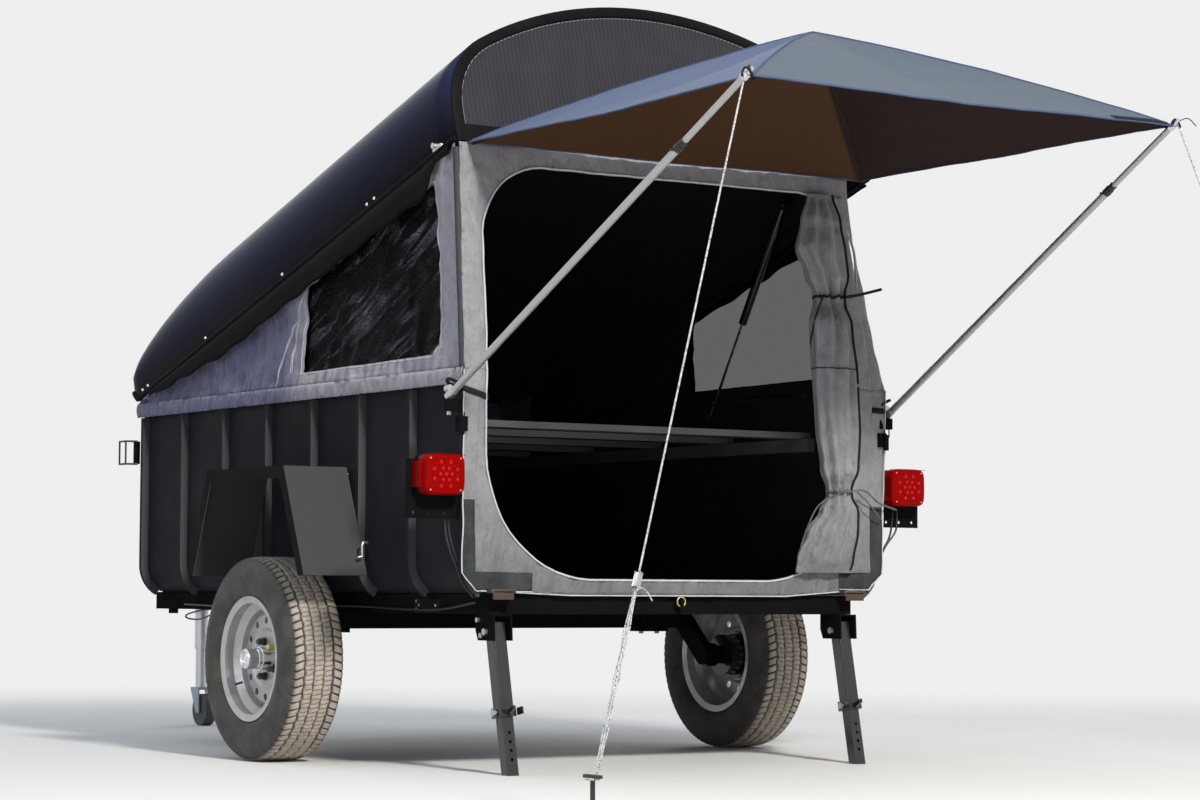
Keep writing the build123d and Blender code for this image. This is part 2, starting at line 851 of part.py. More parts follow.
# Awning poles, from their clamps on the tub to the tips
tip = (awning_rear + 4, awning_half + 9.0, eave_z + 6)
pole_dir = Vector(tip[0] - pole_foot[0], 0, tip[2] - pole_foot[2])
with BuildPart() as poles:
    for side, sign in sides:
        foot = Vector(pole_foot[0], sign * pole_foot[1], pole_foot[2])
        top = Vector(tip[0], sign * tip[1], tip[2])
        along = top - foot
        joint = foot + along * 0.79
        with BuildSketch(Plane(origin=foot, z_dir=along)):
            Circle(11)
        extrude(amount=along.length * 0.79)
        with BuildSketch(Plane(origin=joint, z_dir=along)):
            Circle(9)
        extrude(amount=along.length * 0.21)
save(poles.part, "awning_poles")

with BuildPart() as clamps:
    for side, sign in sides:
        with BuildSketch(Plane.XY.offset(pole_foot[2] - 45)):
            with Locations((pole_foot[0], sign * (tub_half + rib_depth + 0.3 + 26))):
                Rectangle(24, 52)
        extrude(amount=35)
save(clamps.part, "pole_clamps")

# Guy ropes from the tips to the ground pegs
guy_pins = []
with BuildPart() as guys:
    for side, sign in sides:
        top = Vector(tip[0] - 2, sign * (tip[1] + 11.2), tip[2] - 2)
        peg = Vector(guy_ground[0] + 3.3, sign * (guy_ground[1] - 8), peg_high - 6)
        with BuildSketch(Plane(origin=top, z_dir=peg - top)):
            Circle(2.5)
        extrude(amount=(peg - top).length)
save(guys.part, "guy_ropes")

peg_end = -coupler_end
with BuildPart() as pegs:
    for side, sign in sides:
        with BuildSketch(Plane.XY):
            with Locations((guy_ground[0], sign * guy_ground[1])):
                Circle(6)
        extrude(amount=peg_high)
        with BuildSketch(Plane.XY.offset(peg_high)):
            with Locations((guy_ground[0], sign * guy_ground[1])):
                Rectangle(2 * (guy_ground[0] - peg_end), 14)
        extrude(amount=8)
save(pegs.part, "pegs")

# Saddles of the axle tube, and the stabiliser legs: bracket, swinging outer tube, sliding inner tube
saddle_half = axle_side / 2 + 0.3
saddle_y = rail_y - rail_width / 2 - 63
saddle_low = axle_top - axle_side - 0.3
with BuildPart() as leg_brackets:
    for side, sign in sides:
        with BuildSketch(Plane.XZ.offset(-sign * saddle_y)):
            with BuildLine():
                Polyline(
                    (axle_x - saddle_half - saddle_side, axle_top),
                    (axle_x - saddle_half - saddle_side, saddle_low - saddle_under),
                    (axle_x + saddle_half + saddle_side, saddle_low - saddle_under),
                    (axle_x + saddle_half + saddle_side, axle_top),
                    (axle_x + saddle_half, axle_top),
                    (axle_x + saddle_half, saddle_low),
                    (axle_x - saddle_half, saddle_low),
                    (axle_x - saddle_half, axle_top),
                    close=True,
                )
            make_face()
        extrude(amount=-sign * (rail_y + rail_width / 2 + 8 - saddle_y))
        cheek_top = rail_top - rail_depth - 0.3
        for dy in (-leg_cheek, leg_cheek):
            with BuildSketch(Plane.XZ.offset(-sign * leg_y - dy - 3)):
                with BuildLine():
                    Polyline(
                        (leg_x - 40, cheek_top),
                        (leg_x + 60, cheek_top),
                        (leg_x + 60, leg_pivot_z + 4),
                        (leg_x + 46, leg_pivot_z - 26),
                        (leg_x - 44, leg_pivot_z - 26),
                        close=True,
                    )
                make_face()
            extrude(amount=6)
        with BuildSketch(Plane.XY.offset(cheek_top)):
            with Locations((leg_x + 10, sign * leg_y)):
                Rectangle(100, 2 * leg_cheek + 6)
        extrude(amount=-5)
save(leg_brackets.part, "chassis_brackets")

lean_leg = math.radians(leg_lean)
down_leg = Vector(-math.sin(lean_leg), 0, -math.cos(lean_leg))
leg_long = leg_pivot_z / math.cos(lean_leg)
for side, sign in sides:
    pivot = Vector(leg_x, sign * leg_y, leg_pivot_z)
    with BuildPart() as leg:
        with BuildSketch(Plane(origin=pivot - down_leg * 24, x_dir=(0, 1, 0), z_dir=down_leg)):
            RectangleRounded(leg_outer, leg_outer, 4)
            Rectangle(leg_inner + 0.6, leg_inner + 0.6, mode=Mode.SUBTRACT)
        extrude(amount=24 + leg_long - leg_show)
        with BuildSketch(Plane.XZ.offset(-sign * leg_y - leg_boss)):
            with Locations((leg_x, leg_pivot_z)):
                Circle(8)
        extrude(amount=4)
        with BuildSketch(Plane(origin=pivot + down_leg * (leg_long - leg_show - 30), x_dir=(0, 1, 0), z_dir=down_leg)):
            RectangleRounded(leg_outer + 10, leg_outer + 10, 4)
            Rectangle(leg_outer - 1, leg_outer - 1, mode=Mode.SUBTRACT)
        extrude(amount=30)
        with BuildSketch(Plane.XZ.offset(-sign * leg_y - 4)):
            with BuildLine():
                grip = pivot + down_leg * (leg_long - leg_show - 14)
                Polyline(
                    (grip.X - leg_outer / 2 - 2, grip.Z + 8),
                    (grip.X - leg_outer / 2 - 34, grip.Z + 24),
                    (grip.X - leg_outer / 2 - 38, grip.Z + 14),
                    (grip.X - leg_outer / 2 - 2, grip.Z - 10),
                    close=True,
                )
            make_face()
        extrude(amount=8)
    save(leg.part, "leg_outer_" + side)
    with BuildPart() as leg_in:
        with BuildSketch(Plane(origin=pivot + down_leg * (leg_long - 215), x_dir=(0, 1, 0), z_dir=down_leg)):
            RectangleRounded(leg_inner, leg_inner, 3)
        extrude(amount=250)
        with BuildSketch(Plane.YZ.offset(leg_x - 200)):
            for i in range(4):
                with Locations((sign * leg_y, 46 + i * 26)):
                    Circle(5)
        extrude(amount=400, mode=Mode.SUBTRACT)
        split(bisect_by=Plane.XY, keep=Keep.TOP)
    save(leg_in.part, "leg_inner_" + side)

# Tongue jack with its castering wheel
with BuildPart() as jack_tube:
    with BuildSketch(Plane.XY.offset(300)):
        with Locations((jack_x, jack_y)):
            Circle(26)
            Circle(21.5, mode=Mode.SUBTRACT)
    extrude(amount=480)
    with BuildSketch(Plane.XY.offset(780)):
        with Locations((jack_x, jack_y)):
            Circle(29)
    extrude(amount=26)
    with BuildSketch(Plane.XY.offset(806)):
        with Locations((jack_x + 60, jack_y)):
            Rectangle(150, 22)
    extrude(amount=12)
save(jack_tube.part, "jack_tube")

with BuildPart() as jack_inner:
    with BuildSketch(Plane.XY.offset(150)):
        with Locations((jack_x, jack_y)):
            Circle(21.2)
    extrude(amount=500)
save(jack_inner.part, "jack_inner")

fork_top = 149.7
trail = 34.0
with BuildPart() as fork:
    with BuildSketch(Plane.XY.offset(fork_top - 10)):
        with Locations((jack_x - 8, jack_y)):
            Rectangle(70, 62)
    extrude(amount=10)
    for dy in (-29, 29):
        with BuildSketch(Plane.XZ.offset(-(jack_y + dy) - 2.5)):
            with BuildLine():
                Polyline(
                    (jack_x - 43, fork_top - 5),
                    (jack_x + 27, fork_top - 5),
                    (jack_x - trail + 14, jack_wheel_radius - 12),
                    (jack_x - trail - 14, jack_wheel_radius - 12),
                    close=True,
                )
            make_face()
        extrude(amount=5)
    with BuildSketch(Plane.XZ.offset(-jack_y - 27)):
        with Locations((jack_x - trail, jack_wheel_radius)):
            Circle(6)
    extrude(amount=54)
save(fork.part, "jack_fork")

with BuildPart() as caster:
    with BuildSketch(Plane.XZ.offset(-jack_y - 22)):
        with Locations((jack_x - trail, jack_wheel_radius)):
            Circle(jack_wheel_radius)
            Circle(6.05, mode=Mode.SUBTRACT)
    extrude(amount=44)
save(caster.part, "jack_wheel")


# Gas struts between the tub sides and the lid
strut_y = tub_half - 51.0
low_pin = Vector(tub_rear + 850, 0, rim_top - 50)
high_pin = Vector(*lid_point(lid_length - 378.54, 0, 69.16))
strut_dir = (low_pin - high_pin).normalized()
strut_len = (low_pin - high_pin).length
strut_body = 430.0
for side, sign in sides:
    top = Vector(high_pin.X, sign * strut_y, high_pin.Z)
    bottom = Vector(low_pin.X, sign * strut_y, low_pin.Z)
    with BuildPart() as cylinder:
        with BuildSketch(Plane(origin=top + strut_dir * 13, z_dir=strut_dir)):
            Circle(14)
        extrude(amount=strut_body)
        with BuildSketch(Plane(origin=top + strut_dir * 40, z_dir=strut_dir)):
            Circle(5.3)
        extrude(amount=strut_body, mode=Mode.SUBTRACT)
        with BuildSketch(Plane.XZ.offset(-sign * strut_y - 8)):
            with Locations((top.X, top.Z)):
                Circle(15)
        extrude(amount=16)
        with BuildSketch(Plane.XZ.offset(-sign * strut_y - 9)):
            with Locations((top.X, top.Z)):
                Circle(6.05)
        extrude(amount=18, mode=Mode.SUBTRACT)
    save(cylinder.part, "strut_cylinder_" + side)
    with BuildPart() as rod:
        with BuildSketch(Plane(origin=bottom - strut_dir * 13, z_dir=-strut_dir)):
            Circle(5)
        extrude(amount=strut_len - strut_body + 40)
        with BuildSketch(Plane.XZ.offset(-sign * strut_y - 8)):
            with Locations((bottom.X, bottom.Z)):
                Circle(14)
        extrude(amount=16)
    save(rod.part, "strut_rod_" + side)

with BuildPart() as lower_pins:
    for side, sign in sides:
        with BuildSketch(Plane.XZ.offset(-sign * (strut_y + 8.3))):
            with Locations((low_pin.X, low_pin.Z)):
                Circle(6)
        extrude(amount=-sign * (skin_half - wall - strut_y - 8.6))
save(lower_pins.part, "strut_lower_pins")

with BuildPart() as upper_pins:
    for side, sign in sides:
        with BuildSketch(Plane.XZ.offset(-sign * (strut_y - 10))):
            with Locations((high_pin.X, high_pin.Z)):
                Circle(6)
        extrude(amount=-sign * (lid_half - lid_wall - strut_y + 9.7))
save(upper_pins.part, "strut_upper_pins")

# Toggle latches at the rear corners
with BuildPart() as latches:
    for side, sign in sides:
        with BuildSketch(Plane.XY.offset(rim_top - 180)):
            with Locations((tub_rear - 18, sign * (tub_half + 14.3))):
                Rectangle(30, 20)
        extrude(amount=44)
save(latches.part, "latches")
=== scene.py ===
from math import atan2, copysign, cos, exp, hypot, pi, radians, sin, sqrt, tan

import bmesh
import bpy
import numpy as np
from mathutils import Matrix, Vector, noise
from mathutils.geometry import delaunay_2d_cdt


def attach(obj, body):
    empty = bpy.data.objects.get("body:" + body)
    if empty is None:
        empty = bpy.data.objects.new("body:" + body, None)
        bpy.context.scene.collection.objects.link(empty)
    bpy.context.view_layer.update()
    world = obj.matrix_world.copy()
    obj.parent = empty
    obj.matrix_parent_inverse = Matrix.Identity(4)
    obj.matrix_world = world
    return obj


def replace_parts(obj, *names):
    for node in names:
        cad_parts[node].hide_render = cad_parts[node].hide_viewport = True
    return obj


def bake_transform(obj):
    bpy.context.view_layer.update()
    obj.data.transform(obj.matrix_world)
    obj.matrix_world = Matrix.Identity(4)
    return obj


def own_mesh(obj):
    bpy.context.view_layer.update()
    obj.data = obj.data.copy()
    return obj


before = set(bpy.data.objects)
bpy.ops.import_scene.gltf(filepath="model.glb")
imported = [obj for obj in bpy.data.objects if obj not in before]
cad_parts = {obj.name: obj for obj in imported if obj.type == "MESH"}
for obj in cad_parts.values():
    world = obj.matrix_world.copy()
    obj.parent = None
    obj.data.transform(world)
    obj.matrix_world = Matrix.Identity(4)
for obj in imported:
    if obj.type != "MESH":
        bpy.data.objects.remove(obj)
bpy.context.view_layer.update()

# Driving sizes in metres, in the frame: +X forward, +Y left, +Z up, origin below the axle
TURN = 2 * pi
UP, REARWARD = Vector((0, 0, 1)), (-1, 0, 0)
SIDES = (("left", 1), ("right", -1))
TUB_HALF, SKIN_HALF = 0.766, 0.746
CHINE_Y, CHINE_Z, CHINE_RADIUS = 0.651, 0.62, 0.0948
FRONT_WALL = (1.2953, 1.2998)
RIM_TOP, HEM_Z = 1.18, 1.138
TENT_FLOOR = RIM_TOP + 0.003
AXLE_X, AXLE_Z, TUBE_Z, ARM_OUTER, TRACK_HALF = 0.13, 0.319, 0.4379, 0.7823, 0.893
DOOR_HALF, REAR_X = 0.69, -0.9532
LID_ANGLE = radians(16.75)
LIP = Vector((1.3, 0, 1.195))
UP_LIP = Vector((sin(LID_ANGLE), 0, cos(LID_ANGLE)))
ALONG_LIP = Vector((-cos(LID_ANGLE), 0, sin(LID_ANGLE)))
LID_LENGTH, LID_HALF, LID_WALL, SIDE_HEIGHT, CROWN = 2.3, 0.77, 0.005, 0.114, 0.518
NOSE_START, NOSE_END, NOSE_TURN, NOSE_TOP, BLUNT = -0.05, 0.7, 0.02, 0.18, 2.2
AWNING_FRONT, AWNING_REAR, AWNING_HALF = -0.907, -2.331, 0.735
AWNING_MID, AWNING_REACH = (AWNING_FRONT + AWNING_REAR) / 2, (AWNING_FRONT - AWNING_REAR) / 2
EAVE_Z, PEAK_Z = 1.857, 2.154


# Numbers and points

def ripple(*place):
    """Smooth noise between about -1 and 1."""
    return noise.noise(Vector(place))


def smooth(low, high, x):
    """Eases from 0 at low to 1 at high."""
    t = min(1.0, max(0.0, (x - low) / (high - low)))
    return t * t * (3 - 2 * t)


def circle(count):
    """The angles of evenly spaced points on a circle."""
    return [TURN * k / count for k in range(count)]


def steps(low, high, step):
    """Numbers from low to high, evenly spaced by about one step."""
    count = max(1, round((high - low) / step))
    return [low + (high - low) * k / count for k in range(count + 1)]


def extent(points):
    """Width and height of flat points."""
    return tuple(max(p[k] for p in points) - min(p[k] for p in points) for k in (0, 1))


def mirrored(points, sign):
    """Points given for the left side, for the side of that sign."""
    return [(x, sign * y, z) for x, y, z in points]


def cut_runs(points, step):
    """A run of flat points cut into lengths of about one step, less its last point."""
    out = []
    for start, stop in zip(points, points[1:]):
        a, b = Vector(start), Vector(stop)
        runs = max(1, round((b - a).length / step))
        out += [tuple(a.lerp(b, k / runs)) for k in range(runs)]
    return out


def run_points(points, step):
    """The same run with its last point."""
    return cut_runs(points, step) + [tuple(points[-1])]


def smooth_path(points, per_run=8):
    """Points along a smooth curve through the given points."""
    points = [Vector(p) for p in points]
    ends = [points[0] * 2 - points[1], *points, points[-1] * 2 - points[-2]]
    path = []
    for i in range(1, len(ends) - 2):
        p0, p1, p2, p3 = ends[i - 1 : i + 3]
        for k in range(per_run):
            t = k / per_run
            bend = (2 * p0 - 5 * p1 + 4 * p2 - p3) * t * t + (3 * p1 - p0 - 3 * p2 + p3) * t**3
            path.append(0.5 * (2 * p1 + (p2 - p0) * t + bend))
    return path + [points[-1]]


def arc_points(first, middle, last, count):
    """Flat points along the circle through three points, from the first to the last."""
    (ax, ay), (bx, by), (cx, cy) = first, middle, last
    d = 2 * (ax * (by - cy) + bx * (cy - ay) + cx * (ay - by))
    a2, b2, c2 = ax * ax + ay * ay, bx * bx + by * by, cx * cx + cy * cy
    ox = (a2 * (by - cy) + b2 * (cy - ay) + c2 * (ay - by)) / d
    oy = (a2 * (cx - bx) + b2 * (ax - cx) + c2 * (bx - ax)) / d
    radius = hypot(ax - ox, ay - oy)
    start, mid, stop = (atan2(y - oy, x - ox) for x, y in (first, middle, last))
    sweep = (stop - start) % TURN
    if (mid - start) % TURN > sweep:
        sweep -= TURN
    turns = [start + sweep * k / count for k in range(count + 1)]
    return [(ox + radius * cos(t), oy + radius * sin(t)) for t in turns]


def inside(point, polygon):
    """Whether a flat point lies in a polygon."""
    x, y = point
    hit = False
    for i, (x1, y1) in enumerate(polygon):
        x2, y2 = polygon[i - 1]
        if (y1 > y) != (y2 > y) and x < (x2 - x1) * (y - y1) / (y2 - y1) + x1:
            hit = not hit
    return hit


# Meshes

def mesh_of(name, points, faces, sharp=None):
    """A smooth shaded mesh; edges that turn by more than sharp degrees stay hard."""
    mesh = bpy.data.meshes.new(name)
    mesh.from_pydata([tuple(p) for p in points], [], faces)
    mesh.validate()
    return shaded(mesh, sharp)


def shaded(mesh, sharp=None):
    mesh.polygons.foreach_set("use_smooth", [True] * len(mesh.polygons))
    if sharp:
        mesh.set_sharp_from_angle(angle=radians(sharp))
    return mesh


def outward(mesh):
    """Turns the faces of a closed mesh outwards."""
    work = bmesh.new()
    work.from_mesh(mesh)
    bmesh.ops.recalc_face_normals(work, faces=work.faces)
    work.to_mesh(mesh)
    work.free()
    return mesh


def facing(mesh, direction):
    """Turns an open mesh's normals to the given direction, on the whole."""
    if sum(p.normal.dot(direction) * p.area for p in mesh.polygons) < 0:
        mesh.flip_normals()
    return mesh


def thickened(mesh, thick, offset=-1.0, lined=False):
    """The sheet as a closed skin; lined gives its other face the second paint."""
    obj = bpy.data.objects.new(mesh.name, mesh)
    bpy.context.scene.collection.objects.link(obj)
    skin = obj.modifiers.new("skin", "SOLIDIFY")
    skin.thickness, skin.offset = thick, offset
    if lined:
        skin.material_offset = 1
        for _ in range(2):
            mesh.materials.append(None)
    made = bpy.data.meshes.new_from_object(obj.evaluated_get(bpy.context.evaluated_depsgraph_get()))
    bpy.data.objects.remove(obj)
    return made


def joined(meshes):
    """One mesh from several."""
    work = bmesh.new()
    for mesh in meshes:
        work.from_mesh(mesh)
        bpy.data.meshes.remove(mesh)
    made = bpy.data.meshes.new("joined")
    work.to_mesh(made)
    work.free()
    return shaded(made)


def grid_faces(rows, columns, wrap_columns=False, wrap_rows=False):
    """Quads between rows of points, each row holding the same number of columns."""
    faces = []
    for i in range(rows if wrap_rows else rows - 1):
        for j in range(columns if wrap_columns else columns - 1):
            near, far, after = i * columns, (i + 1) % rows * columns, (j + 1) % columns
            faces.append((near + j, near + after, far + after, far + j))
    return faces


def closed_grid(rows, columns):
    """The faces of a grid that is wrapped round and closed at both ends."""
    ends = [tuple(range(columns)), tuple((rows - 1) * columns + k for k in range(columns))]
    return grid_faces(rows, columns, wrap_columns=True) + ends


def tube(points, radius, sides=8, closed=False):
    """A round tube through the points."""
    points = [Vector(p) for p in points]
    rings, count = [], len(points)
    side = None
    for i, p in enumerate(points):
        before = points[(i - 1) % count] if closed or i else p
        after = points[(i + 1) % count] if closed or i < count - 1 else p
        along = (after - before).normalized()
        if side is None:
            side = along.orthogonal().normalized()
        side = (side - along * side.dot(along)).normalized()
        across = along.cross(side)
        rings += [p + (side * cos(t) + across * sin(t)) * radius for t in circle(sides)]
    if closed:
        faces = grid_faces(count, sides, wrap_columns=True, wrap_rows=True)
    else:
        faces = closed_grid(count, sides)
        faces[-2] = faces[-2][::-1]
    return outward(mesh_of("tube", rings, faces, sharp=50))


def block(work, centre, size, bevel=0.0, turn=None):
    """Adds a box with bevelled edges to a bmesh; turn is a rotation matrix about the centre."""
    made = bmesh.ops.create_cube(work, size=1)
    for v in made["verts"]:
        p = Vector((v.co.x * size[0], v.co.y * size[1], v.co.z * size[2]))
        v.co = (turn @ p if turn else p) + Vector(centre)
    if bevel:
        edges = {e for v in made["verts"] for e in v.link_edges}
        bmesh.ops.bevel(work, geom=list(edges), offset=bevel, segments=2, affect="EDGES", profile=0.7)


def disc(work, centre, axis, radius, depth, sides=20, tip=None):
    """Adds a short cylinder or cone to a bmesh, centred at a point, along an axis."""
    turn = Vector(axis).normalized().to_track_quat("Z", "Y").to_matrix()
    tip = radius if tip is None else tip
    made = bmesh.ops.create_cone(work, cap_ends=True, segments=sides, radius1=radius, radius2=tip, depth=depth)
    for v in made["verts"]:
        v.co = turn @ v.co + Vector(centre)


def parts(blocks=(), discs=()):
    """A bmesh of blocks and discs, from the arguments of each."""
    work = bmesh.new()
    for arguments in blocks:
        block(work, *arguments)
    for arguments in discs:
        disc(work, *arguments)
    return work


def close_with_lid(obj):
    """Tent cloth above the rim: it stays on the tub, with a mesh of its own."""
    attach(obj, "trailer")
    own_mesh(obj)


def bend_with_awning(obj):
    """Awning parts: their placement is baked into their mesh."""
    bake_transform(obj)


def piece(name, shape, paints, body="trailer", sharp=35):
    """An object for a mesh or bmesh, in one paint or more.

    It rides on a body, or goes with the tent or the awning.
    """
    if isinstance(shape, bmesh.types.BMesh):
        mesh = bpy.data.meshes.new(name)
        shape.to_mesh(mesh)
        shape.free()
        shape = shaded(mesh, sharp)
    obj = bpy.data.objects.new(name, shape)
    bpy.context.scene.collection.objects.link(obj)
    slots = [face.material_index for face in shape.polygons]
    shape.materials.clear()
    for paint in paints.split():
        shape.materials.append(PAINT[paint])
    shape.polygons.foreach_set("material_index", slots)
    if body == "tent":
        close_with_lid(obj)
    elif body == "awning":
        bend_with_awning(obj)
    else:
        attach(obj, body)
    return obj


def cloth_mesh(outline, holes, step, place, thick, out):
    """A sheet cut from a flat outline, less its holes, set in space by place(u, v).

    Its first material faces the direction out, its second the other way.
    """
    def kept(point):
        return inside(point, outline) and not any(inside(point, hole) for hole in holes)

    points, edges = [], []
    for polygon in (outline, *holes):
        ring = cut_runs([*polygon, polygon[0]], step)
        first = len(points)
        points += ring
        edges += [(first + k, first + (k + 1) % len(ring)) for k in range(len(ring))]
    near_border = {}
    for p in (Vector(p) for p in points):
        near_border.setdefault((int(p.x // step), int(p.y // step)), []).append(p)
    low_u, low_v = (min(p[k] for p in outline) for k in (0, 1))
    high_u, high_v = (max(p[k] for p in outline) for k in (0, 1))
    row, v = 0, low_v
    while v < high_v:
        u = low_u + (step / 2 if row % 2 else 0)
        while u < high_u:
            if kept((u, v)):
                cells = [(int(u // step) + i, int(v // step) + j) for i in (-1, 0, 1) for j in (-1, 0, 1)]
                near = [q for cell in cells for q in near_border.get(cell, ())]
                if all((Vector((u, v)) - q).length > 0.55 * step for q in near):
                    points.append((u, v))
            u += step
        v += step * 0.866
        row += 1
    flat, _, faces, *_ = delaunay_2d_cdt([Vector(p) for p in points], edges, [], 0, 1e-7)
    faces = [f for f in faces if kept(sum((flat[i] for i in f), Vector((0, 0))) / len(f))]
    area = sum(abs((flat[b] - flat[a]).cross(flat[c] - flat[a])) / 2 for a, b, c in faces)
    mesh = facing(mesh_of("cloth", [place(p.x, p.y) for p in flat], faces), Vector(out))
    return thickened(mesh, thick, 0.0, lined=True), area


def cloth(name, outline, step, place, thick, out, paints, body, flat=None, holes=()):
    """A piece of cloth; the size it was cut to (flat) is not used."""
    mesh, area = cloth_mesh(outline, holes, step, place, thick, out)
    obj = piece(name, mesh, paints, body)
    flat or extent(outline)
    return obj


# Materials

class Paint:
    """One node material on the Principled shader, with short calls for its textures."""

    def __init__(self, name, base, rough, metal=0.0, **sockets):
        self.material = bpy.data.materials.new(name)
        self.material.use_nodes = True
        self.tree = self.material.node_tree
        self.shader = self.tree.nodes["Principled BSDF"]
        self.place = self.tree.nodes.new("ShaderNodeTexCoord").outputs["Object"]
        sockets.update(Base_Color=(*base, 1), Roughness=rough, Metallic=metal)
        for socket, value in sockets.items():
            self.shader.inputs[socket.replace("_", " ")].default_value = value

    def link(self, output, target):
        self.tree.links.new(output, target)

    def node(self, kind, feeds=(), **values):
        """A node with its values, and with sockets or values fed to its numbered inputs."""
        made = self.tree.nodes.new("ShaderNode" + kind)
        for key, value in values.items():
            if key in made.inputs:
                made.inputs[key].default_value = value
            else:
                setattr(made, key, value)
        for slot, value in feeds:
            if isinstance(value, bpy.types.NodeSocket):
                self.link(value, made.inputs[slot])
            elif value is not None:
                made.inputs[slot].default_value = (*value, 1) if isinstance(value, tuple) else value
        return made

    def at(self, stretch=None):
        """The place on the object, stretched along its axes."""
        return self.node("Mapping", [("Vector", self.place)], Scale=stretch).outputs[0] if stretch else self.place

    def noise(self, scale, detail=4.0, stretch=None, rough=0.55):
        feeds = [("Vector", self.at(stretch))]
        return self.node("TexNoise", feeds, Scale=scale, Detail=detail, Roughness=rough).outputs["Fac"]

    def wave(self, scale, direction):
        return self.node("TexWave", [("Vector", self.place)], Scale=scale, bands_direction=direction).outputs["Fac"]

    def ramp(self, value, low, high, start=(0, 0, 0), stop=(1, 1, 1)):
        made = self.node("ValToRGB", [("Fac", value)])
        for end, position, colour in zip(made.color_ramp.elements, (low, high), (start, stop)):
            end.position, end.color = position, (*colour, 1)
        return made.outputs["Color"]

    def span(self, value, low, high, start=0.0, stop=1.0, **values):
        """The value from low to high as a share from start to stop."""
        return self.node("MapRange", enumerate((value, low, high, start, stop)), clamp=True, **values).outputs[0]

    def mixed(self, factor, first, second, blend="MIX"):
        """Mix of two colours, each a socket or a plain colour."""
        feeds = ((0, factor), (6, first), (7, second))
        return self.node("Mix", feeds, data_type="RGBA", blend_type=blend).outputs[2]

    def math(self, kind, first, second=None):
        return self.node("Math", enumerate((first, second)), operation=kind).outputs[0]

    def axis(self, name, of=None):
        return self.node("SeparateXYZ", [(0, of or self.place)]).outputs[name]

    def paint_light_on_ends(self, tint, low, high, most=1.0):
        """Painted light: another tint on faces that look forward or back, where the light from behind would fall."""
        turned = self.math("ABSOLUTE", self.axis("X", self.node("NewGeometry").outputs["Normal"]))
        self.colour(self.mixed(self.span(turned, low, high, stop=most), self.base(), tint))

    def base(self):
        return self.shader.inputs["Base Color"].links[0].from_socket

    def colour(self, output):
        self.link(output, self.shader.inputs["Base Color"])

    def roughness(self, value, start, stop, low=0.3, high=0.7):
        self.link(self.span(value, low, high, start, stop), self.shader.inputs["Roughness"])

    def bump(self, height, strength, distance):
        made = self.node("Bump", [("Height", height)], Strength=strength, Distance=distance)
        before = self.shader.inputs["Normal"].links
        if before:
            self.link(before[0].from_socket, made.inputs["Normal"])
        self.link(made.outputs["Normal"], self.shader.inputs["Normal"])


def dusty_paint(name, base, rough, amount, dust=(0.2, 0.17, 0.13), **sockets):
    """Coated metal with faint orange peel, dust and soft smears."""
    paint = Paint(name, base, rough, **sockets)
    smear = paint.noise(6, 5, rough=0.6)
    paint.colour(paint.mixed(paint.math("MULTIPLY", paint.ramp(smear, 0.45, 0.75), amount), base, dust))
    paint.roughness(paint.noise(14, 3), rough - 0.06, rough + 0.1)
    paint.bump(paint.noise(700, 2), 0.06, 0.001)
    paint.bump(paint.noise(9, 2), 0.05, 0.004)
    return paint


def fabric(name, base, sheen=0.25, tone=0.12, rough=0.85, crumple=0.0, **sockets):
    """Woven cloth: fine threads both ways, faint slubs, a soft sheen and, by crumple, small dents."""
    paint = Paint(name, base, rough, Sheen_Weight=sheen, Sheen_Roughness=0.4, **sockets)
    dark, light = (tuple(c * (1 + change) for c in base) for change in (-tone, tone))
    cloud = paint.ramp(paint.noise(16, 6, rough=0.7), 0.3, 0.7, dark, light)
    thread = paint.noise(900, 2, stretch=(1, 1, 0.25))
    slub = paint.ramp(thread, 0.35, 0.65, (0.86, 0.86, 0.86), (1.1, 1.1, 1.1))
    paint.colour(paint.mixed(1.0, cloud, slub, "MULTIPLY"))
    paint.bump(paint.math("ADD", paint.wave(420, "DIAGONAL"), paint.wave(420, "Z")), 0.35, 0.0004)
    paint.bump(paint.noise(60, 4), 0.12, 0.003)
    if crumple:
        ridge = paint.math("ABSOLUTE", paint.math("SUBTRACT", paint.noise(13, 3, stretch=(1, 1, 0.55)), 0.5))
        paint.bump(ridge, crumple, 0.03)
        paint.bump(paint.noise(34, 5, rough=0.6), crumple * 0.6, 0.006)
    return paint


DULL = {"sheen": 0.02, "Specular_IOR_Level": 0.08}
TAUT = {"rough": 0.6, "tone": 0.05, "crumple": 0.12}
FLAT = {"Specular_IOR_Level": 0.012}
STEEL = (0.72, 0.72, 0.74)
